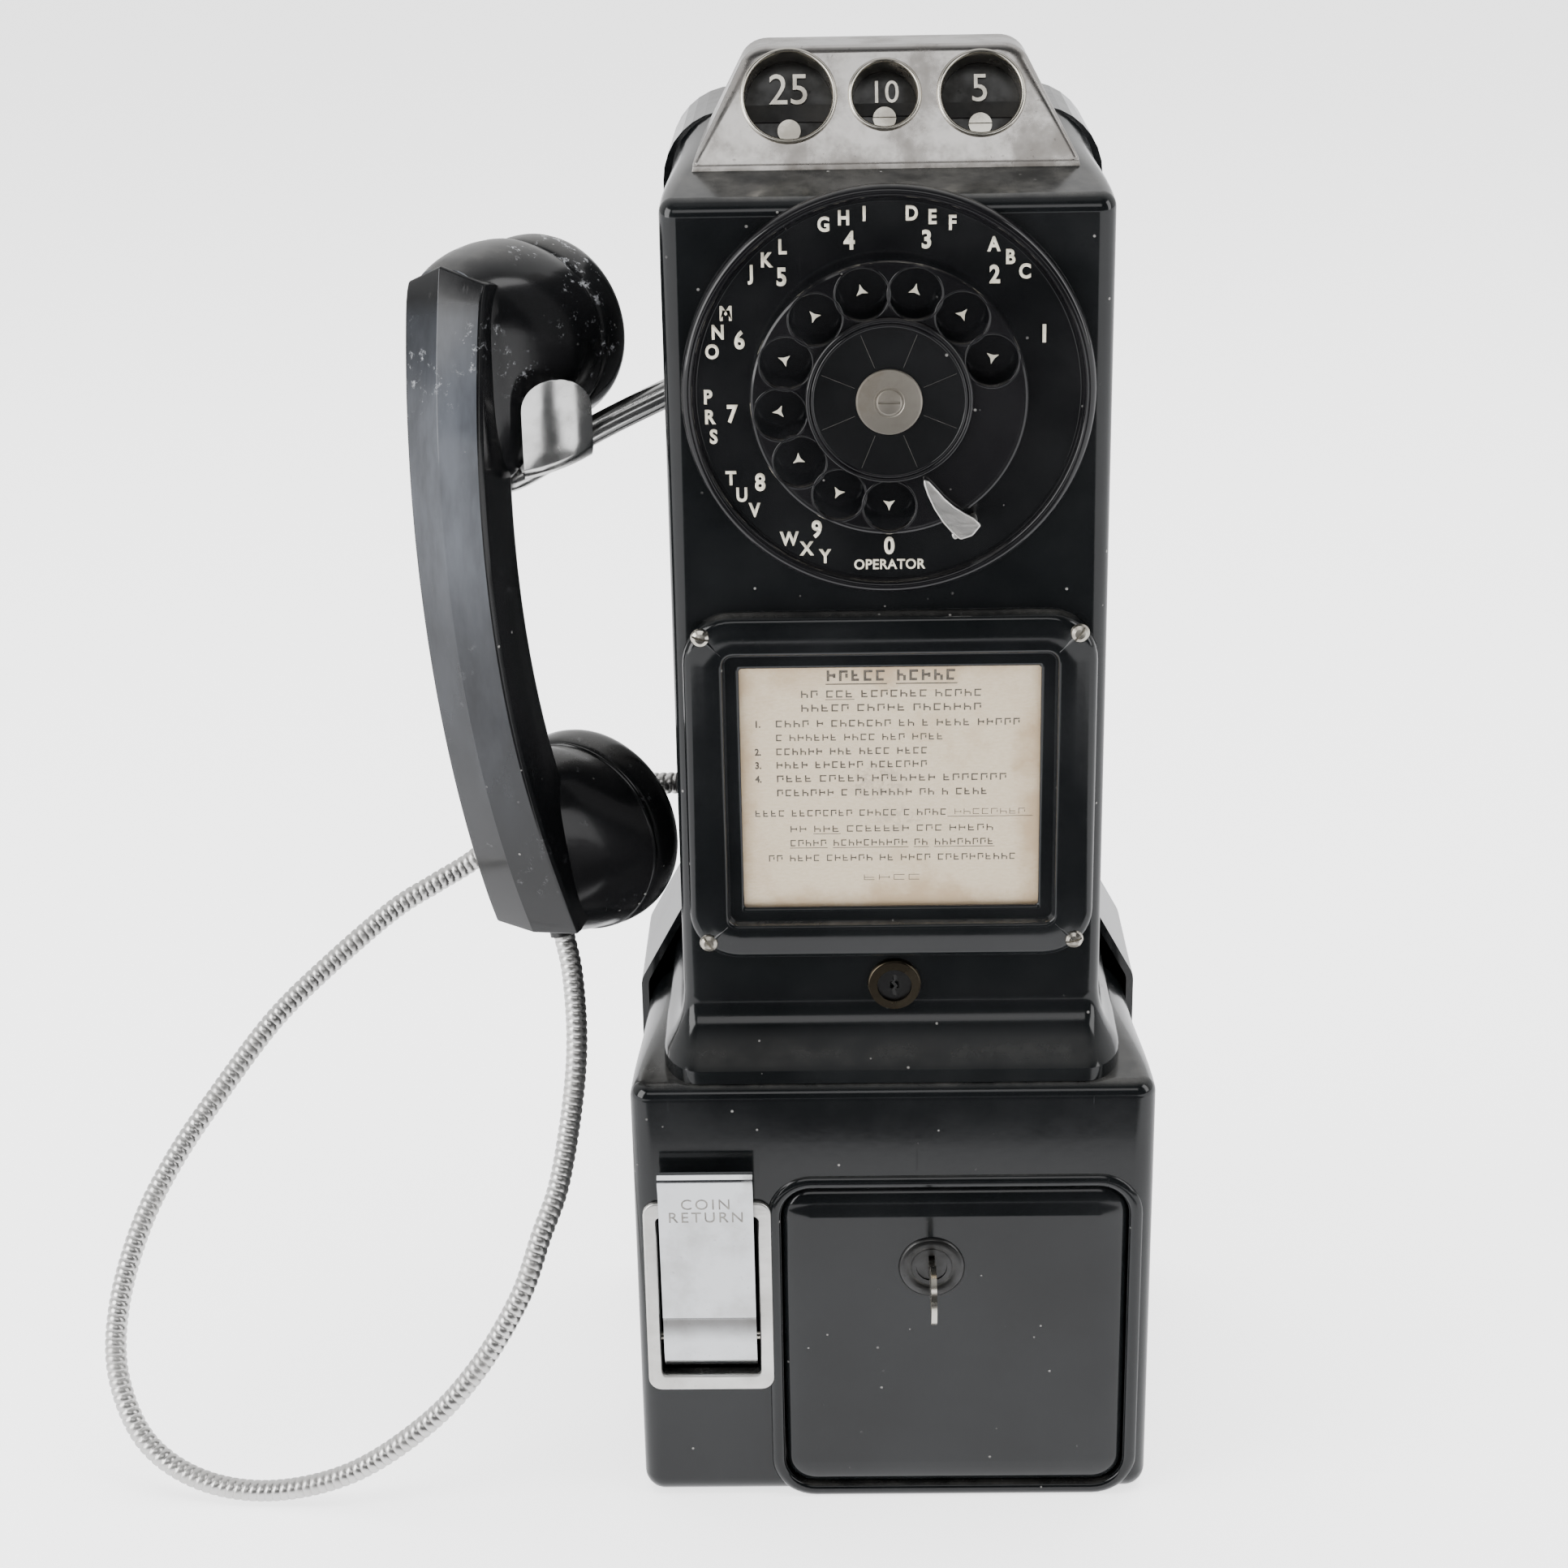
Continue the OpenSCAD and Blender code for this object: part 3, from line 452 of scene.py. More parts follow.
def skin(name, rings, m=None, ends=(True, True)):
    """A lofted object, placed by a matrix where there is one."""
    v, f = loft(rings, ends)
    return mesh(name, place(v, m) if m else v, f)


def turn(degrees, axis):
    return Matrix.Rotation(rad(degrees), 4, axis)


def shift(x, y, z):
    return Matrix.Translation((x, y, z))


def facing(x, y, z, spin=0.0):
    """Turns +Z out of the front, towards -Y, at a place in millimetres."""
    return shift(x, y, z) @ turn(90, "X") @ turn(spin, "Z")


def lathe(name, profile, m, n=64, ends=(True, True)):
    """Spins (radius, height) points about +Z."""
    rings = []
    for r, h in profile:
        r = max(r, 0.0005)
        turns = [2 * math.pi * i / n for i in range(n)]
        rings.append([(r * math.cos(a), r * math.sin(a), h) for a in turns])
    return skin(name, rings, m, ends)


def washer(name, section, m, n):
    """Spins a closed section of (radius, height) points into a ring."""
    return lathe(name, section + section[:1], m, n, (False, False))


def rounded(w, h, r, n):
    """A rounded rectangle about the origin, anticlockwise."""
    r = max(min(r, w / 2 - 1e-3, h / 2 - 1e-3), 0.01)
    pts = []
    for cx, cy, a0 in ((1, 1, 0), (-1, 1, 90), (-1, -1, 180), (1, -1, 270)):
        for k in range(n + 1):
            a = rad(a0 + 90 * k / n)
            pts.append((cx * (w / 2 - r) + r * math.cos(a), cy * (h / 2 - r) + r * math.sin(a)))
    return pts


def plate(name, w, h, r, profile, m, n, ends=(True, True), least=0.3):
    """A rounded rectangle swept through (outset, height) points, n steps to a corner."""
    rings = [[(x, y, z) for x, y in rounded(w + 2 * o, h + 2 * o, max(r + o, least), n)]
             for o, z in profile]
    return skin(name, rings, m, ends)


def hoop(name, w, h, r, profile, m, n, least=0.3):
    """As plate, with the profile closed into a ring."""
    return plate(name, w, h, r, profile + profile[:1], m, n, (False, False), least)


def extrude(name, outline, depth, m):
    n = len(outline)
    v = [(x, y, 0) for x, y in outline] + [(x, y, depth) for x, y in outline]
    f = [tuple(range(n))[::-1], tuple(range(n, 2 * n))]
    f += [(i, (i + 1) % n, n + (i + 1) % n, n + i) for i in range(n)]
    return mesh(name, place(v, m), f)


def join(name, parts):
    bm = bmesh.new()
    for p in parts:
        bm.from_mesh(p.data)
        bpy.data.objects.remove(p)
    me = bpy.data.meshes.new(name)
    bm.to_mesh(me)
    bm.free()
    return linked(name, me)


def catmull(points, steps):
    """A smooth line through points, of so many steps between two of them."""
    p = [np.array(q, float) for q in points]
    out = []
    for i in range(len(p) - 1):
        a, b, c, d = p[max(i - 1, 0)], p[i], p[i + 1], p[min(i + 2, len(p) - 1)]
        for k in range(steps):
            t = k / steps
            out.append(0.5 * (2 * b + (c - a) * t + (2 * a - 5 * b + 4 * c - d) * t * t
                              + (3 * b - a - 3 * c + d) * t ** 3))
    out.append(p[-1])
    return np.array(out)


def resample(line, count):
    """The line in points at equal distances, and its length."""
    seg = np.linalg.norm(np.diff(line, axis=0), axis=1)
    s = np.concatenate([[0], np.cumsum(seg)])
    t = np.linspace(0, s[-1], count)
    return np.stack([np.interp(t, s, line[:, k]) for k in range(3)], 1), s[-1]


def frames(line):
    """Two cross directions that don't twist along a line."""
    t = np.gradient(line, axis=0)
    t /= np.linalg.norm(t, axis=1)[:, None]
    u = np.cross(t[0], (0.3, 0.2, 1))
    us = []
    for k in range(len(line)):
        u = u - t[k] * np.dot(u, t[k])
        u /= np.linalg.norm(u)
        us.append(u)
    us = np.array(us)
    return us, np.cross(t, us)


def tube(name, line, radius, sides):
    """A tube along a line in millimetres; radius(k, angle)."""
    u, w = frames(line)
    rings = []
    for k, p in enumerate(line):
        ring = []
        for i in range(sides):
            a = 2 * math.pi * i / sides
            ring.append(p + radius(k, a) * (math.cos(a) * u[k] + math.sin(a) * w[k]))
        rings.append(ring)
    return skin(name, rings)


# ---- cord

CORD = [
    (-71.5, 14, 225), (-80, 15, 224.5), (-90, 19, 222.5), (-103, 27, 217.5), (-117, 36, 209.5),
    (-131, 43, 198.5), (-147, 46, 184), (-161, 43.5, 176), (-176, 40, 167.5), (-197.5, 31, 151.5),
    (-217.5, 19, 135), (-236, 4, 114), (-250.5, -12, 96), (-261, -27, 77.5), (-267, -44, 56),
    (-266, -58, 37), (-256, -69, 18), (-237, -76, 7), (-212, -79.5, 4.6), (-184, -80, 12),
    (-158.5, -77, 28.5), (-140.5, -71, 46.5), (-126, -62, 68.5), (-118.5, -53, 87.5),
    (-112.5, -44, 102.5), (-108, -32, 126), (-106, -26, 147.5), (-107, -20, 169),
    (-109.5, -16.5, 182),
]
CORD_D, PITCH, STEPS = 7.4, 2.7, 7
# one turn of the interlocked strip, as shares of the radius
STRIP = (0.86, 0.955, 0.99, 1, 0.995, 0.985, 0.965)


def make_cord():
    rough_line = catmull(CORD, 24)
    total = np.linalg.norm(np.diff(rough_line, axis=0), axis=1).sum()
    line, total = resample(rough_line, round(total / PITCH) * STEPS + 1)

    def radius(k, a):
        s = (k + STEPS * a / (2 * math.pi)) % STEPS
        i = int(s)
        return CORD_D / 2 * (STRIP[i] + (s - i) * (STRIP[(i + 1) % STEPS] - STRIP[i]))

    o = tube("armoured_cord", line, radius, 14)
    done(o, None, "armour_steel", "handset_cord", angle=50, weighted=False)
    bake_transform(o)


make_cord()

# ---- housings

V_HALF, V_TOP, V_FRONT = 85, 155, -77.5
U_HALF, U_TOP, FACE, PAN = 67.5, 435, -57.5, 22.5
WALL = 3.5
TOP_SLOPE = 15 / (PAN - FACE)
DOOR_AT = facing(20, V_FRONT, 61.5)
KEY_AT = facing(12.4, V_FRONT, 90)
RETURN_AT = facing(-61, V_FRONT, 78.5)
# the skirt under the upper housing: its full spread, then (height, share of that spread)
SPREAD_SIDE, SPREAD_FRONT = 7, 17
FLARE = ((155, 1), (159.5, 1), (161, 0.9), (163.5, 0.68), (166, 0.46), (169, 0.26), (172, 0.12),
         (175.5, 0.03), (179, 0))


def plan(half, front, back, corner):
    """Half-open outline from back left round the front to back right: x, y and the way out."""
    pts = []
    ys = np.linspace(back, front + corner, 12)
    pts += [(-half, y, -1, 0) for y in ys]
    for k in range(1, 9):
        a = rad(180 + 90 * k / 8)
        c, s = math.cos(a), math.sin(a)
        pts.append((-half + corner + corner * c, front + corner + corner * s, c, s))
    xs = np.linspace(-half + corner, 0, 5)[1:-1]
    pts += [(x, front, 0, -1) for x in xs]
    return pts + [(0, front, 0, -1)] + [(-x, y, -nx, ny) for x, y, nx, ny in reversed(pts)]


def block(name, half, front, back, corner, low, top, edge, flare=(), foot=0.0):
    """A housing block: top(y) is its height and edge(y) the radius of its top edge.

    It starts with a flare, or at the height low, where foot rounds its lower edge.
    """
    p = plan(half, front, back, corner)
    rings = []
    if flare:
        rings = [[(x + SPREAD_SIDE * f * nx, y + SPREAD_FRONT * f * ny, z) for x, y, nx, ny in p]
                 for z, f in flare]
    else:
        for k in range(7 if foot else 1):
            a = rad(15 * k)
            inset, z = foot * (1 - math.sin(a)), low + foot * (1 - math.cos(a))
            rings.append([(x - inset * nx, y - inset * ny, z) for x, y, nx, ny in p])
    for k in range(9):
        a = rad(90 * k / 8)
        ring = []
        for x, y, nx, ny in p:
            r = edge(y)
            d = r * (1 - math.cos(a))
            yy = y - d * ny
            ring.append((x - d * nx, yy, top(yy) - r * (1 - math.sin(a))))
        rings.append(ring)
    v, f = loft(rings, (True, False))
    # the top is closed by strips from side to side
    n, o = len(p), (len(rings) - 1) * len(p)
    f += [(o + i, o + i + 1, o + n - 2 - i, o + n - 1 - i) for i in range(n // 2 - 1)]
    f.append((o + n // 2 - 1, o + n // 2, o + n // 2 + 1))
    return outward(mesh(name, v, f))


def slab(x0, y0, z0, x1, y1, z1):
    v = [(x, y, z) for x in (x0, x1) for y in (y0, y1) for z in (z0, z1)]
    return mesh("slab", v, [(0, 1, 3, 2), (4, 6, 7, 5), (0, 4, 5, 1), (2, 3, 7, 6), (0, 2, 6, 4),
                            (1, 5, 7, 3)])


def growing(r0, r1, y0, y1):
    """An edge radius that grows from r0 at y0 to r1 at y1."""
    def edge(y):
        t = min(max((y - y0) / (y1 - y0), 0), 1)
        return r0 + (r1 - r0) * t * t * (3 - 2 * t)
    return edge


def make_housings():
    top = lambda y: U_TOP + (y - FACE) * TOP_SLOPE
    body = block("upper_shell", U_HALF, FACE, PAN, 5.5, V_TOP, top, growing(4.5, 21, FACE, PAN),
                 FLARE)
    inner = block("inner", U_HALF - WALL, FACE + WALL, PAN + 2, 3, V_TOP - 1,
                  lambda y: top(y) - WALL, growing(2, 17, FACE, PAN))
    arm_slot = slab(-75, -19, 357, -60, -5, 383)
    boolean(body, [inner, arm_slot])
    done(body, "housing", "black_enamel", "upper_housing", angle=28)

    vault = block("vault_shell", V_HALF, V_FRONT, PAN, 7, 0, lambda y: V_TOP,
                  growing(5, 22, V_FRONT, PAN), foot=7)
    inner = block("inner", V_HALF - WALL, V_FRONT + WALL, PAN + 2, 4, WALL, lambda y: V_TOP - WALL,
                  growing(2, 18, V_FRONT, PAN), foot=4)
    through = [(0, -8), (0, 6)]
    door = plate("door_cut", 113.9, 113.9, 10.4, through, DOOR_AT, 10)
    mouth = plate("mouth", 33, 60, 1.5, through, RETURN_AT, 4)
    boolean(vault, [inner, door, mouth])
    done(vault, "housing", "black_enamel", "vault_housing", angle=28)

    bead = [(0, -1), (0, 0.5), (0.4, 1.1), (1.2, 1.45), (2.1, 1.5), (3, 1.15), (3.7, 0.6),
            (4.2, 0.12), (4.35, -1)]
    rim = hoop("door_rim", 114.2, 114.2, 10.5, bead, DOOR_AT, 10)
    done(rim, "housing", "black_enamel", angle=60)


def make_door():
    pillow = [(0, -6.5), (0, -2.2), (-0.25, -1.3), (-0.9, -0.4), (-2, 0.35), (-3.4, 0.95),
              (-5.2, 1.45), (-7.2, 1.8), (-9.2, 2), (-9.8, 2.02), (-14, 2.06), (-30, 2.1)]
    o = outward(plate("door_panel", 113, 113, 10, pillow, DOOR_AT, 10))
    boolean(o, [lathe("bore", [(8.1, -12), (8.1, 12)], KEY_AT, 48)])
    done(o, "door", "black_enamel", "vault_door", angle=24)
    section = [(6.6, -2), (6.6, 1.6), (7.1, 2.4), (8, 2.8), (9, 2.9), (9.9, 2.7), (10.4, 2.3),
               (10.5, 1)]
    ring = lathe("door_lock_ring", section, KEY_AT, 64, (False, False))
    done(thicken(ring, 0.5, -1), "door", "dark_steel", angle=50)


# ---- coin return

SHEET = 1.1
PIVOT = Vector((-61, -69.5, 58.5))
# turns an outline in X and Y into one in Y and Z, its depth along X
SIDEWAYS = Matrix(((0, 0, 1, 0), (1, 0, 0, 0), (0, 1, 0, 0), (0, 0, 0, 1)))


def make_coin_return():
    """The bezel, and the flap with its cheeks and lettering, whose points are about its pivot."""
    steps = ((42, 71, 4.5, 0), (42, 71, 4.5, 1.1), (41.4, 70.4, 4.2, 1.5), (40.6, 69.6, 3.8, 1.6),
             (34.2, 61.2, 2, 1.6), (33.5, 60.5, 1.8, 1.35), (33.2, 60.2, 1.7, 0.8),
             (33.2, 60.2, 1.7, -3.2))
    rings = [[(x, y, z) for x, y in rounded(w, h, r, 6)] for w, h, r, z in steps]
    bezel = skin("return_frame", rings + rings[:1], RETURN_AT, (False, False))
    done(bezel, "housing", "satin_nickel", "return_bezel", angle=40)

    outer = [(-13.2, 65.6), (-12.7, 67.2), (-13.2, 68.9), (-14.5, 69.8), (-16.1, 69.6),
             (-17.1, 68.4), (-17.3, 66.6), (-16.9, 64.8), (-16.1, 63.6), (-15.6, 62.4), (-15.1, 56),
             (-13.6, 38), (-11.75, 15.5), (-11.55, 13.6), (-10.6, 12.6), (-10.1, 11), (-10.3, 8),
             (-10.4, 4), (-10.1, 0), (-9.4, -3.4), (-7.8, -6.3), (-5.4, -8.4), (-2.6, -9.5),
             (0.2, -9.8)]
    line = np.array(outer)
    t = np.gradient(line, axis=0)
    t /= np.linalg.norm(t, axis=1)[:, None]
    inner = line + SHEET * np.stack([-t[:, 1], t[:, 0]], 1)
    loop = np.concatenate([line, inner[::-1]])
    half = 15.4
    rings = [[(x, y, z) for y, z in loop] for x in (-half, -half + 0.35, 0, half - 0.35, half)]
    parts = [skin("flap", rings)]
    cheek = [(-9.6, -2), (-10.3, 10), (-11.8, 17), (-13.6, 40), (-11.5, 46), (-6, 36), (-1, 20),
             (5, 8), (9.6, 0), (8.6, -4.6), (5.6, -8), (0, -9.7), (-5.4, -8.2), (-8.6, -4.8)]
    for x in (-half, half - SHEET):
        parts.append(extrude("cheek", cheek, SHEET, shift(x, 0, 0) @ SIDEWAYS))
    o = join("return_flap", parts)
    o.data.transform(Matrix.Translation(PIVOT * MM))
    done(o, "coin_bucket", "chrome", "return_bucket", mat=FLAP, angle=30)
    lean = math.atan2(3.5, 46.8)
    # the letters are coloured with painted groove shade
    for word, z in (("COIN", 58.3), ("RETURN", 53.3)):
        y = -15.35 + (60 - z) * 0.0748
        m = shift(*(PIVOT + Vector((0, y, z)))) @ Matrix.Rotation(lean, 4, "X") @ turn(90, "X")
        label(word, 4.1, m, "coin_bucket", "chrome", SHADE, wide=1.0, bold=0.0, spacing=1.25)


# ---- lettering

CAPITAL = 0.73  # height of a capital in the built-in font, as a share of its size
ROOT = 0.3  # how deep a mark stands in its face, in millimetres


def label(text, height, m, body, slot, mat, wide=0.82, bold=0.035, spacing=1.0, depth=0.12):
    """Plain capitals or figures of a height in millimetres, raised off a face."""
    c = bpy.data.curves.new("t", "FONT")
    c.body = text
    c.align_x, c.align_y = "CENTER", "CENTER"
    c.offset = bold
    c.resolution_u = 4
    c.space_character = spacing
    t = linked("t", c)
    me = evaluated(t)
    bpy.data.objects.remove(t)
    k = height / CAPITAL
    ys = [v.co.y * k for v in me.vertices]
    mid = (min(ys) + max(ys)) / 2
    bm = bmesh.new()
    bm.from_mesh(me)
    bmesh.ops.dissolve_limit(bm, angle_limit=rad(1), verts=bm.verts, edges=bm.edges)
    for v in bm.verts:
        v.co = Vector((v.co.x * k * wide, v.co.y * k - mid, depth))
    grown = bmesh.ops.extrude_face_region(bm, geom=bm.faces[:])
    low = [g for g in grown["geom"] if isinstance(g, bmesh.types.BMVert)]
    bmesh.ops.translate(bm, verts=low, vec=(0, 0, -depth - ROOT))
    bmesh.ops.recalc_face_normals(bm, faces=bm.faces)
    bm.transform(Matrix.Scale(MM, 4) @ m)
    name = "mark_" + "".join(ch for ch in text if ch.isalnum())
    out = bpy.data.meshes.new(name)
    bm.to_mesh(out)
    bm.free()
    out.materials.append(mat)
    o = linked(name, out)
    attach(o, body)


# ---- coin gauge

GAUGE_Y, GAUGE_Z, GAUGE_TILT = -31.5, 439, math.atan2(36, 16)
HOLE_UP, WELL = 23.4, -9.6
# each hole: x, its radius, the rim's radius and the figure in it
HOLES = ((-29, 13.2, 14.6, "25"), (0, 9.7, 11.1, "10"), (29, 11.95, 13.4, "5"))


def on_gauge(x, up, out=0.0):
    """A place on the gauge's leaning face, +Z out of it."""
    return shift(x, GAUGE_Y, GAUGE_Z) @ Matrix.Rotation(GAUGE_TILT, 4, "X") @ shift(0, up, out)


def round_poly(points, radii, n=7):
    """A polygon with its corners rounded, n steps to a corner."""
    out = []
    for i, p in enumerate(points):
        p, a, b = Vector(p), Vector(points[i - 1]), Vector(points[(i + 1) % len(points)])
        u, w = (a - p).normalized(), (b - p).normalized()
        half = u.angle(w) / 2
        d = radii[i] / math.tan(half)
        c = p + (u + w).normalized() * (radii[i] / math.sin(half))
        s, e = p + u * d - c, p + w * d - c
        for k in range(n + 1):
            t = k / n
            q = (s * (1 - t) + e * t).normalized() * radii[i]
            out.append((c.x + q.x, c.y + q.y))
    return out


def make_gauge():
    """The leaning plate, the lip under it, and the three coin holes."""
    corners = [(-60, 0), (60, 0), (41.2, 39.4), (-41.2, 39.4)]
    radii = (3, 3, 9, 9)

    def ring(inset, out):
        pts = [(x - math.copysign(inset * 1.15, x), y + (inset if y < 1 else -inset))
               for x, y in corners]
        o = round_poly(pts, [max(r - inset, 0.4) for r in radii])
        return place([(x, y, out) for x, y in o], on_gauge(0, 0))

    rings = [ring(*r) for r in ((3.2, 0), (1.8, -0.15), (0.8, -0.7), (0.2, -1.6), (0, -2.8))]
    for y in (-12, 8.6, 10.4):
        shrink = 1.0 if y < 10 else 0.97
        rings.append([(p[0] * shrink, max(p[1], y), p[2] - (1.5 if y > 10 else 0))
                      for p in rings[4]])
    o = outward(skin("gauge_face", rings))
    boolean(o, [lathe("cut", [(r + 0.25, -16), (r + 0.25, 6)], on_gauge(x, HOLE_UP), 72)
                for x, r, _, _ in HOLES])
    done(o, "housing", "brushed_nickel", "coin_gauge", angle=32)
    lip = [(-58.6, -0.4), (58.6, -0.4), (58, 2.6), (-58, 2.6)]
    o = outward(extrude("gauge_lip", lip, 1.5, on_gauge(0, 0, -1)))
    done(bevel(o, 0.45), "housing", "brushed_nickel")
    cups = []
    for x, r, rim, figure in HOLES:
        at = on_gauge(x, HOLE_UP)
        prof = [(r, -9.4), (r, 0.2), (r + 0.2, 0.75), (r + 0.6, 1), (rim - 0.5, 0.95),
                (rim - 0.1, 0.65), (rim + 0.1, 0.1), (rim + 0.1, -1), (rim - 0.2, -1.2),
                (rim - 0.2, -9.4)]
        done(washer("coin_rim_" + figure, prof, at, 96), "housing", "nickel", angle=40)
        cups.append(lathe("cup", [(r - 0.02, WELL), (r - 0.02, WELL - 0.8)], at, 72))
        label(figure, r * 0.74, at @ shift(0, r * 0.34, WELL), "housing", "dark_steel",
              MAT["nickel"], wide=0.95, bold=0.0, depth=0.9)
        # a near-black sheet of painted shade where each coin slot opens into the housing
        slot = [(-r * 0.9, -r * 0.42), (r * 0.9, -r * 0.42), (r * 0.99, -r * 0.02),
                (-r * 0.99, -r * 0.02)]
        bar = extrude("coin_slot_" + figure, slot, 0.8, at @ shift(0, 0, WELL - 0.1))
        done(bar, "housing", "dark_steel", mat=HOLLOW_SHADE)
    done(join("coin_wells", cups), "housing", "dark_steel", "coin_cups", angle=30)


# ---- dial

DIAL_Z, PLATE_Y, WHEEL_Y = 378, -60, -66.5
STAND_OFF = 10.4  # the finger stop's distance from the number plate
STEP, HOLE_RING = 27.7, 32.5  # degrees between the finger holes, and the radius they lie on
DIAL_FACE, DIAL_WHEEL = facing(0, FACE, DIAL_Z), facing(0, WHEEL_Y, DIAL_Z)


def polar(radius, angle):
    """x and z on the dial, the angle clockwise from straight down."""
    return -radius * math.sin(rad(angle)), DIAL_Z - radius * math.cos(rad(angle))


def dial_mark(text, height, x, z, wide=0.86, **style):
    label(text, height, facing(x, PLATE_Y, z), "housing", "dial_black", CREAM, wide, **style)


def make_dial():
    """Bezel, number plate with its marks, finger wheel, centre and finger stop."""
    ring = [(57.6, 0), (62.1, 0), (62.2, 1.6), (62, 2.9), (61.4, 3.9), (60.5, 4.4), (59.6, 4.4),
            (58.9, 3.9), (58.4, 3), (58.2, 2.5), (57.6, 2.5)]
    done(washer("dial_bezel", ring, DIAL_FACE, 160), "housing", "black_bakelite", "dial_ring",
         angle=40)
    disc = [(10, 0), (57.7, 0), (57.7, 2.3), (57.3, 2.5), (44.6, 2.5), (44.2, 2.42), (43.8, 2.5),
            (10, 2.5)]
    done(washer("dial_face", disc, DIAL_FACE, 160), "housing", "dial_black", "number_plate",
         angle=40)

    letters = ("", "WXY", "TUV", "PRS", "MNO", "JKL", "GHI", "DEF", "ABC", "")
    for i, digit in enumerate("0987654321"):
        a = STEP * i
        x, z = polar(49.4 if digit == "1" else 47.3, a)
        text = "I" if digit == "1" else digit
        dial_mark(text, 5.3, x, z)
        for k, ch in enumerate(letters[i]):
            way = 1 if digit in "2345" else -1
            x, z = polar(54.1, a + way * 6.5 * (k - 1))
            dial_mark(ch, 4.3, x, z)
    dial_mark("OPERATOR", 3.2, 0, DIAL_Z - 53.2, wide=0.93, bold=0.02, spacing=1.05)
    marks = []
    tri = [(-1.75, -1.15), (0, -0.75), (1.75, -1.15), (0.55, 0.4), (0, 2), (-0.55, 0.4)]
    for i in range(10):
        x, z = polar(HOLE_RING + 0.6, STEP * i)
        marks.append(extrude("m", tri, 0.12, facing(x, PLATE_Y - 0.02, z - 1.2, 180 - STEP * i)))
    done(join("finger_marks", marks), "housing", "dial_black", mat=CREAM, weighted=False)

    w = 41.3
    prof = [(4.2, 0), (w - 1.2, 0), (w - 0.35, 0.35), (w, 1.1), (w, 1.6), (w - 0.3, 2.3),
            (w - 0.9, 2.65), (w - 1.6, 2.6), (w - 2.2, 2.5), (24.6, 2.5), (4.2, 2.5)]
    wheel = outward(washer("finger_disc", prof, DIAL_WHEEL, 160))
    cuts, rims = [], []
    for i in range(10):
        x, z = polar(HOLE_RING, STEP * i)
        cuts.append(lathe("c", [(8.1, -3), (8.1, 6)], facing(x, WHEEL_Y, z), 48))
        lip = [(7.7, 0.1), (7.7, 2.1), (7.75, 2.4), (7.9, 2.62), (8.15, 2.66), (8.4, 2.56),
               (8.5, 2.3), (8.2, 0.1)]
        rims.append(washer("l", lip, facing(x, WHEEL_Y, z), 56))
    boolean(wheel, cuts)
    done(wheel, "dial", "black_bakelite", "finger_wheel", angle=32)
    done(join("finger_hole_rims", rims), "dial", "black_bakelite", angle=50)

    f = WHEEL_Y - 2.5
    section = [(22, 0), (24.7, 0), (24.9, 0.9), (24.6, 1.6), (24, 1.85), (23.6, 1.55),
               (23.4, 1.3), (23.1, 1.75), (22.7, 1.9), (22.2, 1.6), (22, 1)]
    done(washer("card_rings", section, facing(0, f, DIAL_Z), 128), "dial", "black_bakelite",
         "dial_card_ring", angle=60)
    hub = [(0, 0.4), (9.8, 0.4), (9.9, 1.9), (9.7, 2.3), (9.2, 2.5), (4.6, 2.6), (4.3, 2.4),
           (3.9, 2.4), (3.8, 2.7), (3.3, 2.95), (0, 3.05)]
    o = outward(lathe("hub_cap", hub, facing(0, f, DIAL_Z), 72, (False, False)))
    boolean(o, [slab(-3.2, f - 5, DIAL_Z - 0.35, 3.2, f - 2.6, DIAL_Z + 0.35)])
    done(o, "dial", "nickel", "dial_hub", mat=HUB_METAL, angle=30)
    card = front_of("dial_card")
    spokes = []
    for k in range(8):
        a = 22.5 + 45 * k
        v = place([(11, -0.06, 0), (21.6, -0.06, 0), (21.6, 0.06, 0), (11, 0.06, 0)],
                  facing(0, card - 0.94, DIAL_Z, a))
        spokes.append(mesh("s", v, [(0, 1, 2, 3)]))
    done(join("card_lines", spokes), "dial", "dial_black", mat=FAINT, weighted=False, flip=False)
    lens = [(9.9, 0.2), (22.3, 0.2), (22.3, 0.9), (9.9, 0.9)]
    done(washer("card_lens", lens, facing(0, card, DIAL_Z), 96), "dial", "clear_plastic",
         "dial_card_window", mat=LENS, angle=30)

    blade = [(-2.6, -47.4), (1.2, -48.2), (5.2, -46.6), (4.4, -43.6), (2.6, -40.6), (1, -37.4),
             (-0.2, -33.8), (-0.9, -30.2), (-1.7, -26.9), (-2.8, -25.4), (-3.6, -26.9),
             (-4.3, -30.4), (-4.7, -35), (-4.5, -40), (-3.7, -44)]
    at = shift(0, PLATE_Y - STAND_OFF, DIAL_Z) @ turn(-29.5, "Y") @ turn(90, "X")
    post = [(-4.3, -47), (4.3, -47), (4.3, -44.8), (-4.3, -44.8)]
    parts = [extrude("b", blade, 1.6, at), extrude("p", post, -STAND_OFF, at)]
    stop = outward(join("stop_blade", parts))
    done(bevel(stop, 0.75, 4), "housing", "chrome", "finger_stop", mat=MAT["satin_nickel"],
         angle=50)


# ---- instruction card

FRAME_Z = 251


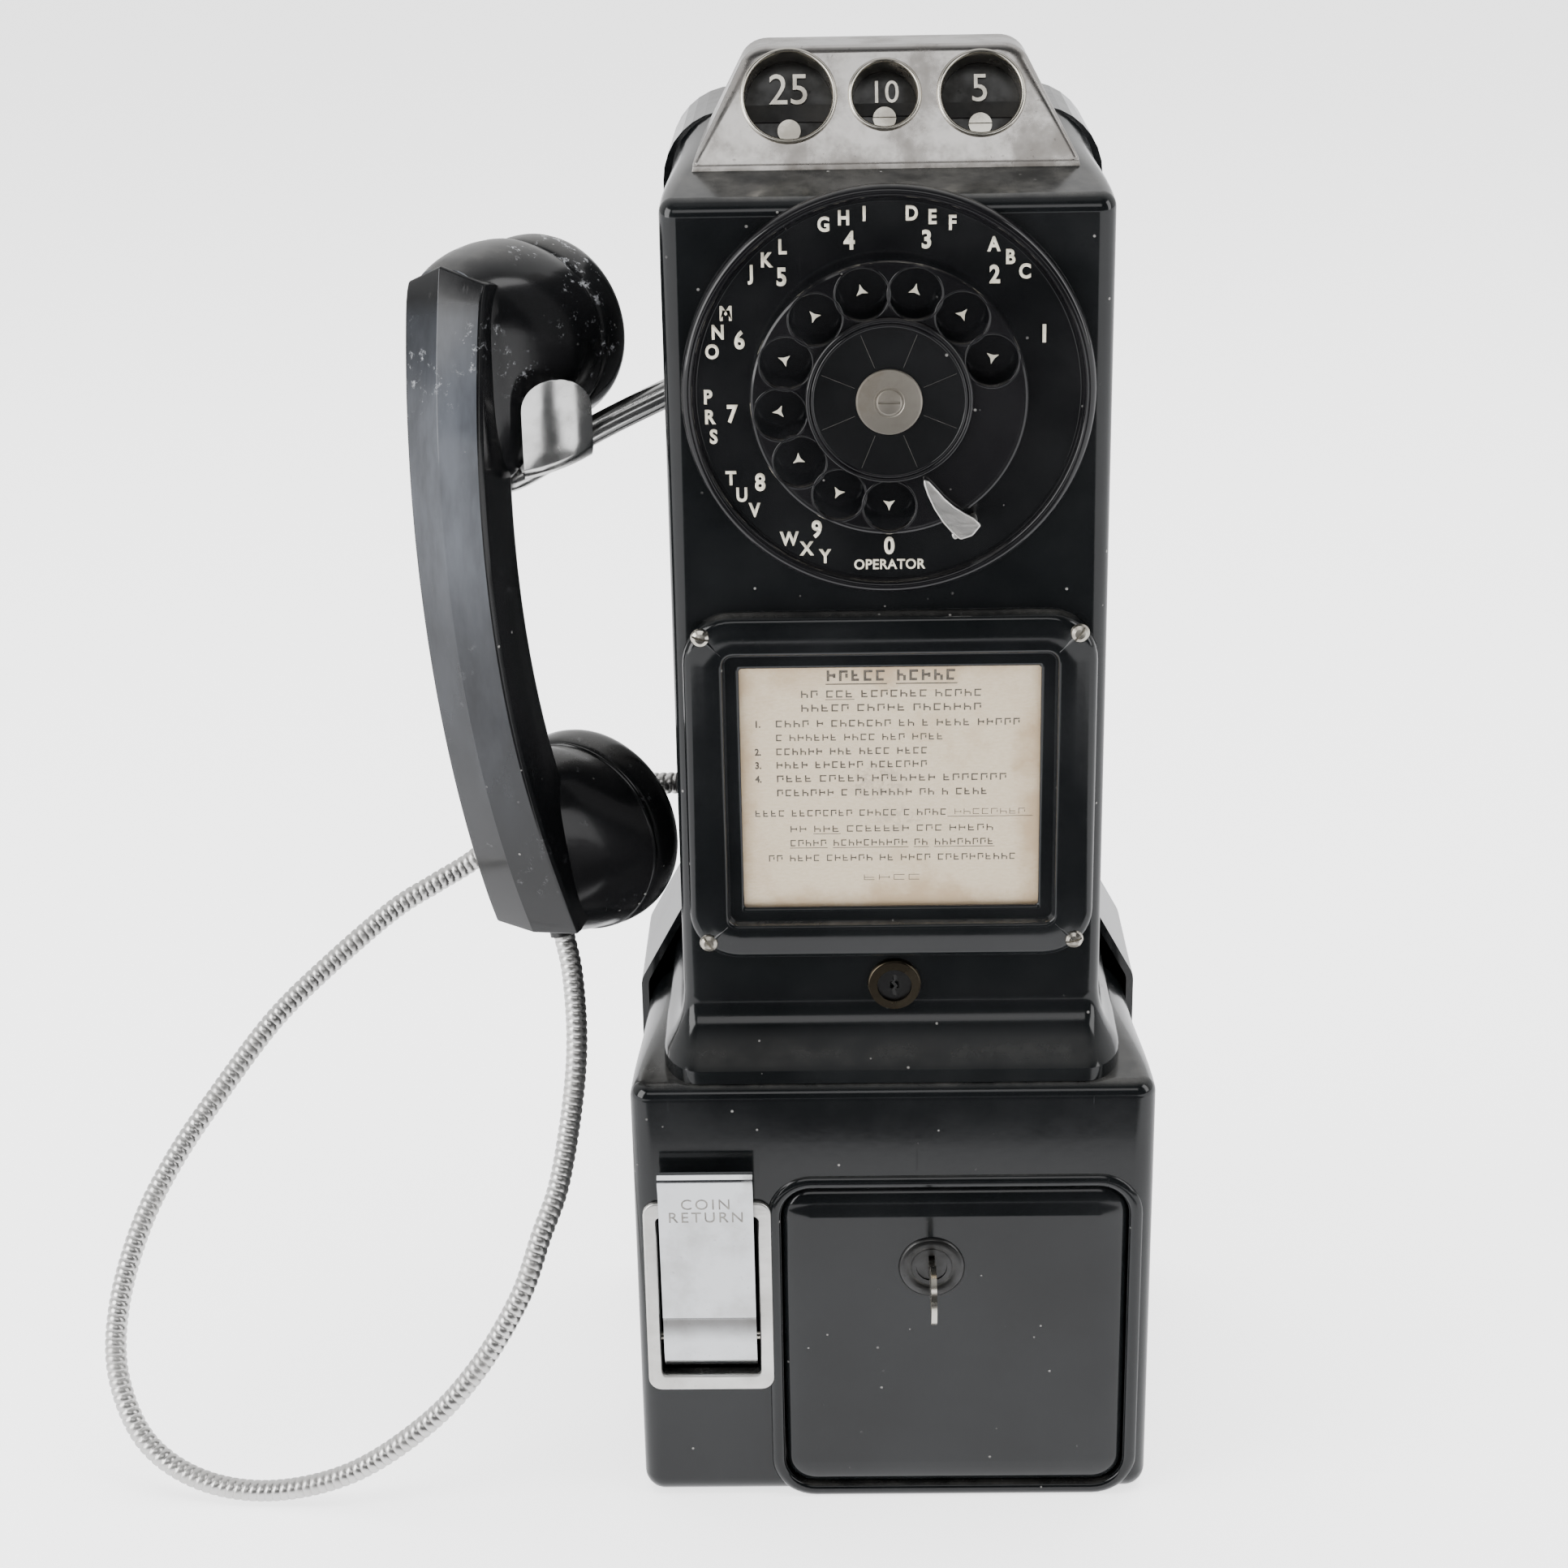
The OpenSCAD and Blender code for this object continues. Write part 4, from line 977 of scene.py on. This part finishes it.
def make_card():
    """The card's frame with its corner ridges, and the printed lines."""
    at = facing(0, FACE, FRAME_Z)
    prof = [(-2.4, 1.5), (-2.4, 2.3), (-1.9, 2.9), (-1.2, 3.1), (1.6, 3.15), (2, 3.3), (2.3, 3.9),
            (2.7, 5), (3.2, 5.55), (4, 5.8), (6.2, 5.75), (8.6, 5.35), (10.6, 4.9),
            (12.2, 4.65), (13.4, 4.3), (14.4, 3.5), (15, 2.2), (15.2, 0), (0.5, 0), (0.5, 1.5)]
    o = hoop("card_surround", 98.6, 85.6, 0.8, prof, at, 10, 1)
    done(o, "housing", "black_enamel", "card_frame", angle=38)
    ridges = []
    for sx in (-1, 1):
        for sz in (-1, 1):
            a, b = Vector((sx * 52.2, sz * 45.7)), Vector((sx * 56.6, sz * 49.9))
            d = (b - a).normalized()
            n = Vector((-d.y, d.x)) * 0.45
            v = place([(p.x + k * n.x, p.y + k * n.y, z + (0 if k else 0.35))
                       for p, z in ((a, 5.55), (b, 5.2)) for k in (-1, 0, 1)], at)
            ridges.append(mesh("r", v, [(0, 1, 4, 3), (1, 2, 5, 4)]))
    done(join("corner_ridges", ridges), "housing", "black_enamel", flip=False, weighted=False)

    rng = random.Random(7)
    y = front_of("instruction_card") - 0.03
    verts, faces = [], []

    def bar(x, z, w, h):
        k = len(verts)
        verts.extend([(x, y, z), (x + w, y, z), (x + w, y, z + h), (x, y, z + h)])
        faces.append((k, k + 1, k + 2, k + 3))

    def glyph(x, z, w, h, s):
        """A mark the size of a letter that is none."""
        kind = rng.randrange(5)
        bar(x, z, s, h)
        if kind in (0, 1):
            bar(x + s, z + h - s, w - s, s)
        if kind in (1, 2):
            bar(x + w - s, z + h * 0.3, s, h * 0.4)
        if kind in (2, 3, 4):
            bar(x + s, z + h * 0.42, w - 2 * s, s)
        if kind in (3, 0):
            bar(x + s, z, w - 1.4 * s, s)
        if kind == 4:
            bar(x + w - s, z, s, h * 0.5)

    def line(x0, x1, z, h, words, heavy=0.36, under=None):
        """Words of so many marks from x0 to x1; under is the underlined word, or all."""
        z += FRAME_Z
        gap = h * 0.75
        each = (x1 - x0 - gap * (len(words) - 1)) / sum(words)
        x = x0
        for i, n in enumerate(words):
            start = x
            for _ in range(n):
                glyph(x + each * 0.1, z, each * 0.72, h, h * heavy * 0.55)
                x += each
            if under == "all" or under == i:
                bar(start, z - h * 0.32, x - start, h * 0.1)
            x += gap

    rows = ((-20, 21, 35.4, 3.6, (5, 5), 0.42, "all"), (-28, 29, 30, 2.4, (2, 3, 7, 5), 0.36, 1),
            (-28, 29, 25.4, 2.4, (5, 5, 7)), (-36, 41, 20.3, 2.3, (4, 1, 7, 2, 1, 4, 5)),
            (-36, 17, 15.7, 2.2, (1, 6, 4, 3, 4), 0.34), (-36, 12, 11, 2.3, (6, 3, 4, 4)),
            (-36, 12, 6.5, 2.3, (4, 6, 7)), (-36, 37, 1.9, 2.3, (4, 5, 7, 7)),
            (-36, 31, -2.9, 2.3, (7, 1, 7, 2, 1, 4)), (-43, 18, -9.8, 2.2, (4, 8, 5, 1, 4), 0.34),
            (20, 43, -9.6, 1.9, (8,), 0.2), (-32, 33, -15.2, 2.2, (2, 3, 7, 3, 5), 0.32, 1),
            (-32, 33, -20, 2.2, (5, 10, 2, 8), 0.32, "all"),
            (-39, 40, -25.2, 2.2, (2, 4, 6, 2, 4, 10), 0.32), (-9, 10, -31.9, 1.9, (4,), 0.2))
    for row in rows:
        line(*row)
    bar(18, FRAME_Z - 10.4, 27, 0.2)
    o = mesh("card_print", verts, faces)
    done(o, "housing", "paper", mat=INK, weighted=False, flip=False)
    for n, z in ((1, 21.4), (2, 12.1), (3, 7.6), (4, 3)):
        label(f"{n}.", 2.3, facing(-41.5, y, FRAME_Z + z), "housing", "paper", INK, wide=0.9,
              bold=0.03, depth=0.02)


# ---- upper lock

LOCK_X, LOCK_Z = 1, 182.5


def make_upper_lock():
    prof = [(5.9, -2), (5.9, 1.1), (6.1, 1.5), (6.7, 1.9), (7.5, 2), (8.2, 1.7), (8.6, 1.1),
            (8.7, 0.3), (8.7, -2)]
    done(washer("lock_collar", prof, facing(LOCK_X, FACE, LOCK_Z), 72), "housing", "aged_brass",
         angle=40)
    # the keyway is a thin sheet of painted shade on the plug's face
    way = [(-0.5, 3.6), (0.5, 3.6), (0.9, 2.2), (0, 1), (1.1, -0.4), (0.3, -1.6), (0.9, -3.6),
           (-0.4, -3.6), (-0.9, -1.8), (0, -0.5), (-1, 0.8), (-0.2, 2)]
    at = facing(LOCK_X, front_of("upper_lock_plug") - 0.02, LOCK_Z)
    done(extrude("keyway", way, 0.06, at), "upper_lock", "dark_steel", mat=HOLLOW_SHADE, weighted=False)


# ---- hook

ARM = ((-50, -12, 376), (-70, -12.5, 367), (-94, -13.2, 355.3), (-117, -16, 342.3),
       (-128, -12.5, 340.2), (-136, -4, 340), (-141, 5, 341))
ROD_R, ROD_ROWS, ROD_TIP = 4.4, 70, 6.2
# each tab: its foot, turn, width, height, bow, slope, and its way back to the arm
TABS = (
    ((-102.5, -31, 352.5), 12, 21, 25, 3.0, 3.2,
     ((15.5, -3.4), (11, -4.2), (6, -4.3), (2.6, -3.2), (0.8, -1.4))),
    ((-140.5, 6.8, 343), 40, 20, 23, 1.8, 0, ((-3, -3.6), (-1.6, -2.4), (-0.4, -1))),
)


def tab(width, height, bow, tail, slope):
    """A rounded finger that bows forward on a slanting foot; its tail leads back to the arm."""
    side = width / 2
    straight = height - side
    rows = [(side, y, z) for y, z in tail] + [(side, 0, straight * k / 4) for k in range(5)]
    for k in range(1, 9):
        a = rad(90 * k / 8.6)
        rows.append((side * math.cos(a), 0.35 * math.sin(a), straight + side * math.sin(a)))
    n = 12
    v = []
    for half, y, z in rows:
        level = slope * min(1, max(0, 1 - z / straight))
        for i in range(n + 1):
            u = -1 + 2 * i / n
            v.append((u * half, y - bow * (1 - (u * half / side) ** 2), z + level * u))
    f = [(r * (n + 1) + i, r * (n + 1) + i + 1, (r + 1) * (n + 1) + i + 1, (r + 1) * (n + 1) + i)
         for r in range(len(rows) - 1) for i in range(n)]
    return v, f


def make_hook():
    line, _ = resample(catmull(ARM, 12), ROD_ROWS)

    def radius(k, a):
        """Even along the rod, with a rounded tip over its last rows."""
        past = max(0, k - ROD_ROWS + 7)
        return ROD_R * math.sqrt(max(1 - (past / ROD_TIP) ** 2, 0.02))

    o = tube("hook_rod", line, radius, 24)
    done(o, "hook", "chrome", "hook_arm", mat=WORN_CHROME, angle=50)
    parts = []
    for at, spin, w, h, bow, slope, tail in TABS:
        v, f = tab(w, h, bow, tail, slope)
        t = mesh("tab", place(v, shift(*at) @ turn(spin, "Z")), f)
        parts.append(bevel(thicken(t, 2.2, 0), 0.7, angle=50))
    done(join("hook_tabs", parts), "hook", "chrome", "hook_fork", mat=WORN_CHROME, angle=50)


# ---- handset

HUNG = shift(-131.2, -47.7, 187.9) @ turn(-3.8, "Y") @ turn(-29, "Z") @ turn(-2, "X")
RIDGE_R, RIDGE_MID, LENGTH = 356, 131.3, 224
EAR_Z, MOUTH_Z, SEAT_Y = 194.7, 24.1, 53.4


def bell(name, axis_z, keys):
    """A body that grows from the grip to a round seat: y, half width, up, down, squareness."""
    rings = []
    for y, a, up, down, n in catmull(keys, 30 // (len(keys) - 1)):
        ring = []
        for k in range(56):
            t = 2 * math.pi * k / 56
            c, s = math.cos(t), math.sin(t)
            x = a * math.copysign(abs(c) ** (2 / n), c)
            z = (up if s > 0 else down) * math.copysign(abs(s) ** (2 / n), s)
            ring.append((x, y, axis_z + z))
        rings.append(ring)
    return skin(name, rings, HUNG)


def capward(z):
    """Turns +Z out of a cap's seat at a height along the handset."""
    return HUNG @ shift(0, SEAT_Y, z) @ turn(-90, "X")


def make_handset():
    """The faceted grip on its curved ridge, joined with its two bells, and the two caps."""
    low, high = math.asin(RIDGE_MID / RIDGE_R), math.asin((LENGTH - RIDGE_MID) / RIDGE_R)
    rings = []
    count = 46
    for k in range(count + 1):
        a = -low + (low + high) * k / count
        z = RIDGE_R * math.sin(a)
        s = (z / 97) ** 2
        w = 14 + 0.7 * min(s, 2) + (1.0 if z < 0 else 0.3) * min(s, 1.6)
        t = 26.4 + (1.0 * min(s, 1.5) if z < 0 else 0)
        pts = [(0, 0), (w - 0.6, 2.5), (w, 4.4), (w - 1.2, 15), (w - 2.6, t - 4.5), (w - 7, t),
               (-w + 7, t), (-w + 2.6, t - 4.5), (-w + 1.2, 15), (-w, 4.4), (-w + 0.6, 2.5)]
        outline = round_poly(pts, (0.9, 0.9, 0.9, 6, 3.4, 3.4, 3.4, 3.4, 6, 0.9, 0.9), 3)
        drop = 4.6 * max(0, 1 - (LENGTH - RIDGE_MID - z) / 14) ** 2
        rings.append([(x, RIDGE_R - (RIDGE_R - y) * math.cos(a),
                       RIDGE_MID + (RIDGE_R - y) * math.sin(a) - drop * min(abs(x) / 14, 1))
                      for x, y in outline])
    # both ends are rounded off by three smaller rings
    for end, step in ((0, 1), (-1, -1)):
        ring = np.array(rings[end])
        mid = ring.mean(0)
        nxt = np.array(rings[end + step])
        away = (ring - nxt).mean(0)
        away /= np.linalg.norm(away)
        extra = [[tuple(mid + (p - mid) * sc + away * out) for p in ring]
                 for sc, out in ((0.985, 0.55), (0.955, 0.95), (0.91, 1.15))]
        rings = extra[::-1] + rings if end == 0 else rings + extra
    body = outward(skin("handset_grip", rings, HUNG))
    ear = bell("ear", EAR_Z, [
        (14.5, 13.3, 28.6, 36, 3.6), (20, 16, 30.6, 41, 3), (26, 19.4, 31.8, 41, 2.7),
        (33, 23.4, 32.7, 35, 2.4), (40, 26.8, 33.1, 31.2, 2.15), (47, 29, 32.6, 29.4, 2),
        (52.2, 29.9, 30.8, 28.8, 2)])
    mouth = bell("mouth", MOUTH_Z, [
        (27.5, 14.2, 30, 22.5, 3.8), (32, 17.6, 33, 25.5, 3.2), (38, 22.4, 34.6, 28.2, 2.6),
        (44, 27.2, 34.6, 30.6, 2.2), (49, 31, 33.6, 32, 2), (52.2, 32.9, 32.9, 32.9, 2)])
    boolean(body, [ear, mouth], "UNION")
    for z in (EAR_Z, MOUTH_Z):
        boolean(body, [lathe("well", [(20.9, -14), (20.9, 9)], capward(z), 48)])
    bevel(body, 1.1, 2, 38)
    done(body, "handset", "black_bakelite", "handset_handle", mat=HANDSET, angle=30)
    for name, node, z, r in (("ear_cap", "receiver_cap", EAR_Z + 0.8, 30.6),
                             ("mouth_cap", "transmitter_cap", MOUTH_Z, 34.6)):
        prof = [(21.6, -1.4), (r - 2.2, -1.4), (r - 1.5, -1.2), (r - 1.1, -0.7), (r - 1.15, -0.15),
                (r - 1.5, 0.2), (r - 1.55, 0.7), (r - 1, 1.2), (r - 0.5, 2.6), (r - 0.15, 5),
                (r, 8), (r - 0.2, 10.6), (r - 0.9, 12.9), (r - 2.3, 14.9), (r - 4.3, 16.2),
                (r - 6.8, 16.8), (r - 10, 16.9), (14, 16.2), (8, 15.2), (0, 14.8), (0, 12),
                (21.6, 12)]
        cap = outward(washer(name, prof, capward(z), 96))
        turns = [rad(60 * i) for i in range(6)]
        holes = [(0, 0)] + [(8 * math.cos(a), 8 * math.sin(a)) for a in turns]
        boolean(cap, [lathe("h", [(1.5, 8), (1.5, 20)], capward(z) @ shift(x, y, 0), 20)
                      for x, y in holes])
        done(cap, "handset", "black_bakelite", node, mat=HANDSET, angle=40)


for make in (make_housings, make_door, make_coin_return, make_gauge, make_dial, make_card,
             make_upper_lock, make_hook, make_handset):
    make()

# ---- stage and light

ALL_RAYS = ("camera", "glossy", "diffuse", "shadow", "transmission", "volume_scatter")
GROUND = [(-15000, -15000, 0), (15000, -15000, 0), (15000, 15000, 0), (-15000, 15000, 0)]


def studio(name, paint, verts, faces, hidden, **look):
    """A piece of the studio, unseen by the kinds of ray in hidden."""
    o = mesh(name, verts, faces)
    m = Nodes(paint)
    m.set(**look)
    o.data.materials.append(m.mat)
    for ray in hidden:
        setattr(o, "visible_" + ray, False)


def all_but(ray):
    return [r for r in ALL_RAYS if r != ray]


def make_stage():
    """A white floor and backdrop for the camera; a grey floor and a black flag for reflections."""
    glow = (1, 1, 1, 1)
    quad = [(0, 1, 2, 3)]
    studio("floor", "floor_white", GROUND, quad, ("glossy",),
           Base_Color=(0.9, 0.9, 0.905), Roughness=0.7, Emission_Color=glow, Emission_Strength=2.0)
    studio("sweep", "sweep_grey", GROUND, quad, all_but("glossy"),
           Base_Color=(0.62, 0.62, 0.63), Roughness=0.8, Emission_Color=glow, Emission_Strength=0.2)
    n, far = 48, 14500
    turns = [2 * math.pi * i / n for i in range(n)]
    wall = [(far * math.cos(a), far * math.sin(a), z) for z in (-10, 12000) for a in turns]
    panels = [(i, (i + 1) % n, n + (i + 1) % n, n + i) for i in range(n)]
    studio("backdrop", "backdrop_white", wall, panels, all_but("camera"),
           Base_Color=(0.8, 0.8, 0.8), Roughness=0.9, Emission_Color=glow, Emission_Strength=2.2)
    flag = [(-430, -4200, 1), (430, -4200, 1), (430, -328, 1), (-430, -328, 1)]
    studio("flag", "flag_black", flag, quad, all_but("glossy"),
           Base_Color=(0.012, 0.012, 0.013), Roughness=0.9)


def lamp(name, at, aim, size, power, glossy=True):
    """A soft box of a size in metres and a power in watts."""
    d = bpy.data.lights.new(name, "AREA")
    d.shape = "RECTANGLE"
    d.size, d.size_y = size
    d.energy = power
    o = linked(name, d)
    o.location = at
    o.rotation_euler = (Vector(aim) - Vector(at)).to_track_quat("-Z", "Y").to_euler()
    o.visible_glossy = glossy


def make_world():
    """Light from behind the object and from straight above, dark from the front."""
    world = bpy.data.worlds.new("studio")
    bpy.context.scene.world = world
    n = Nodes("studio", world)
    ray = n.add("TexCoord", "Generated", {})
    back = n.ramp(n.add("SeparateXYZ", "Y", {0: ray}), -0.35, 0.35, 0.03, 1)
    high = n.ramp(n.add("SeparateXYZ", "Z", {0: ray}), 0.82, 1, 0, 0.45)
    n.set(Strength=n.math("MAXIMUM", back, high), Color=(1, 1, 1))


make_stage()
make_world()
lamp("overhead", (0, 0.2, 2.2), (0, 0, 0), (2.6, 2.2), 85, False)
lamp("front_top", (-0.1, -1.45, 1.5), (0, 0, 0.35), (1.5, 0.5), 4.5)
lamp("left_bank", (-1.5, -0.75, 0.9), (0, 0, 0.25), (1, 1.5), 26)
lamp("right_bank", (1.5, -0.5, 1), (0, 0, 0.25), (0.6, 1.4), 10)
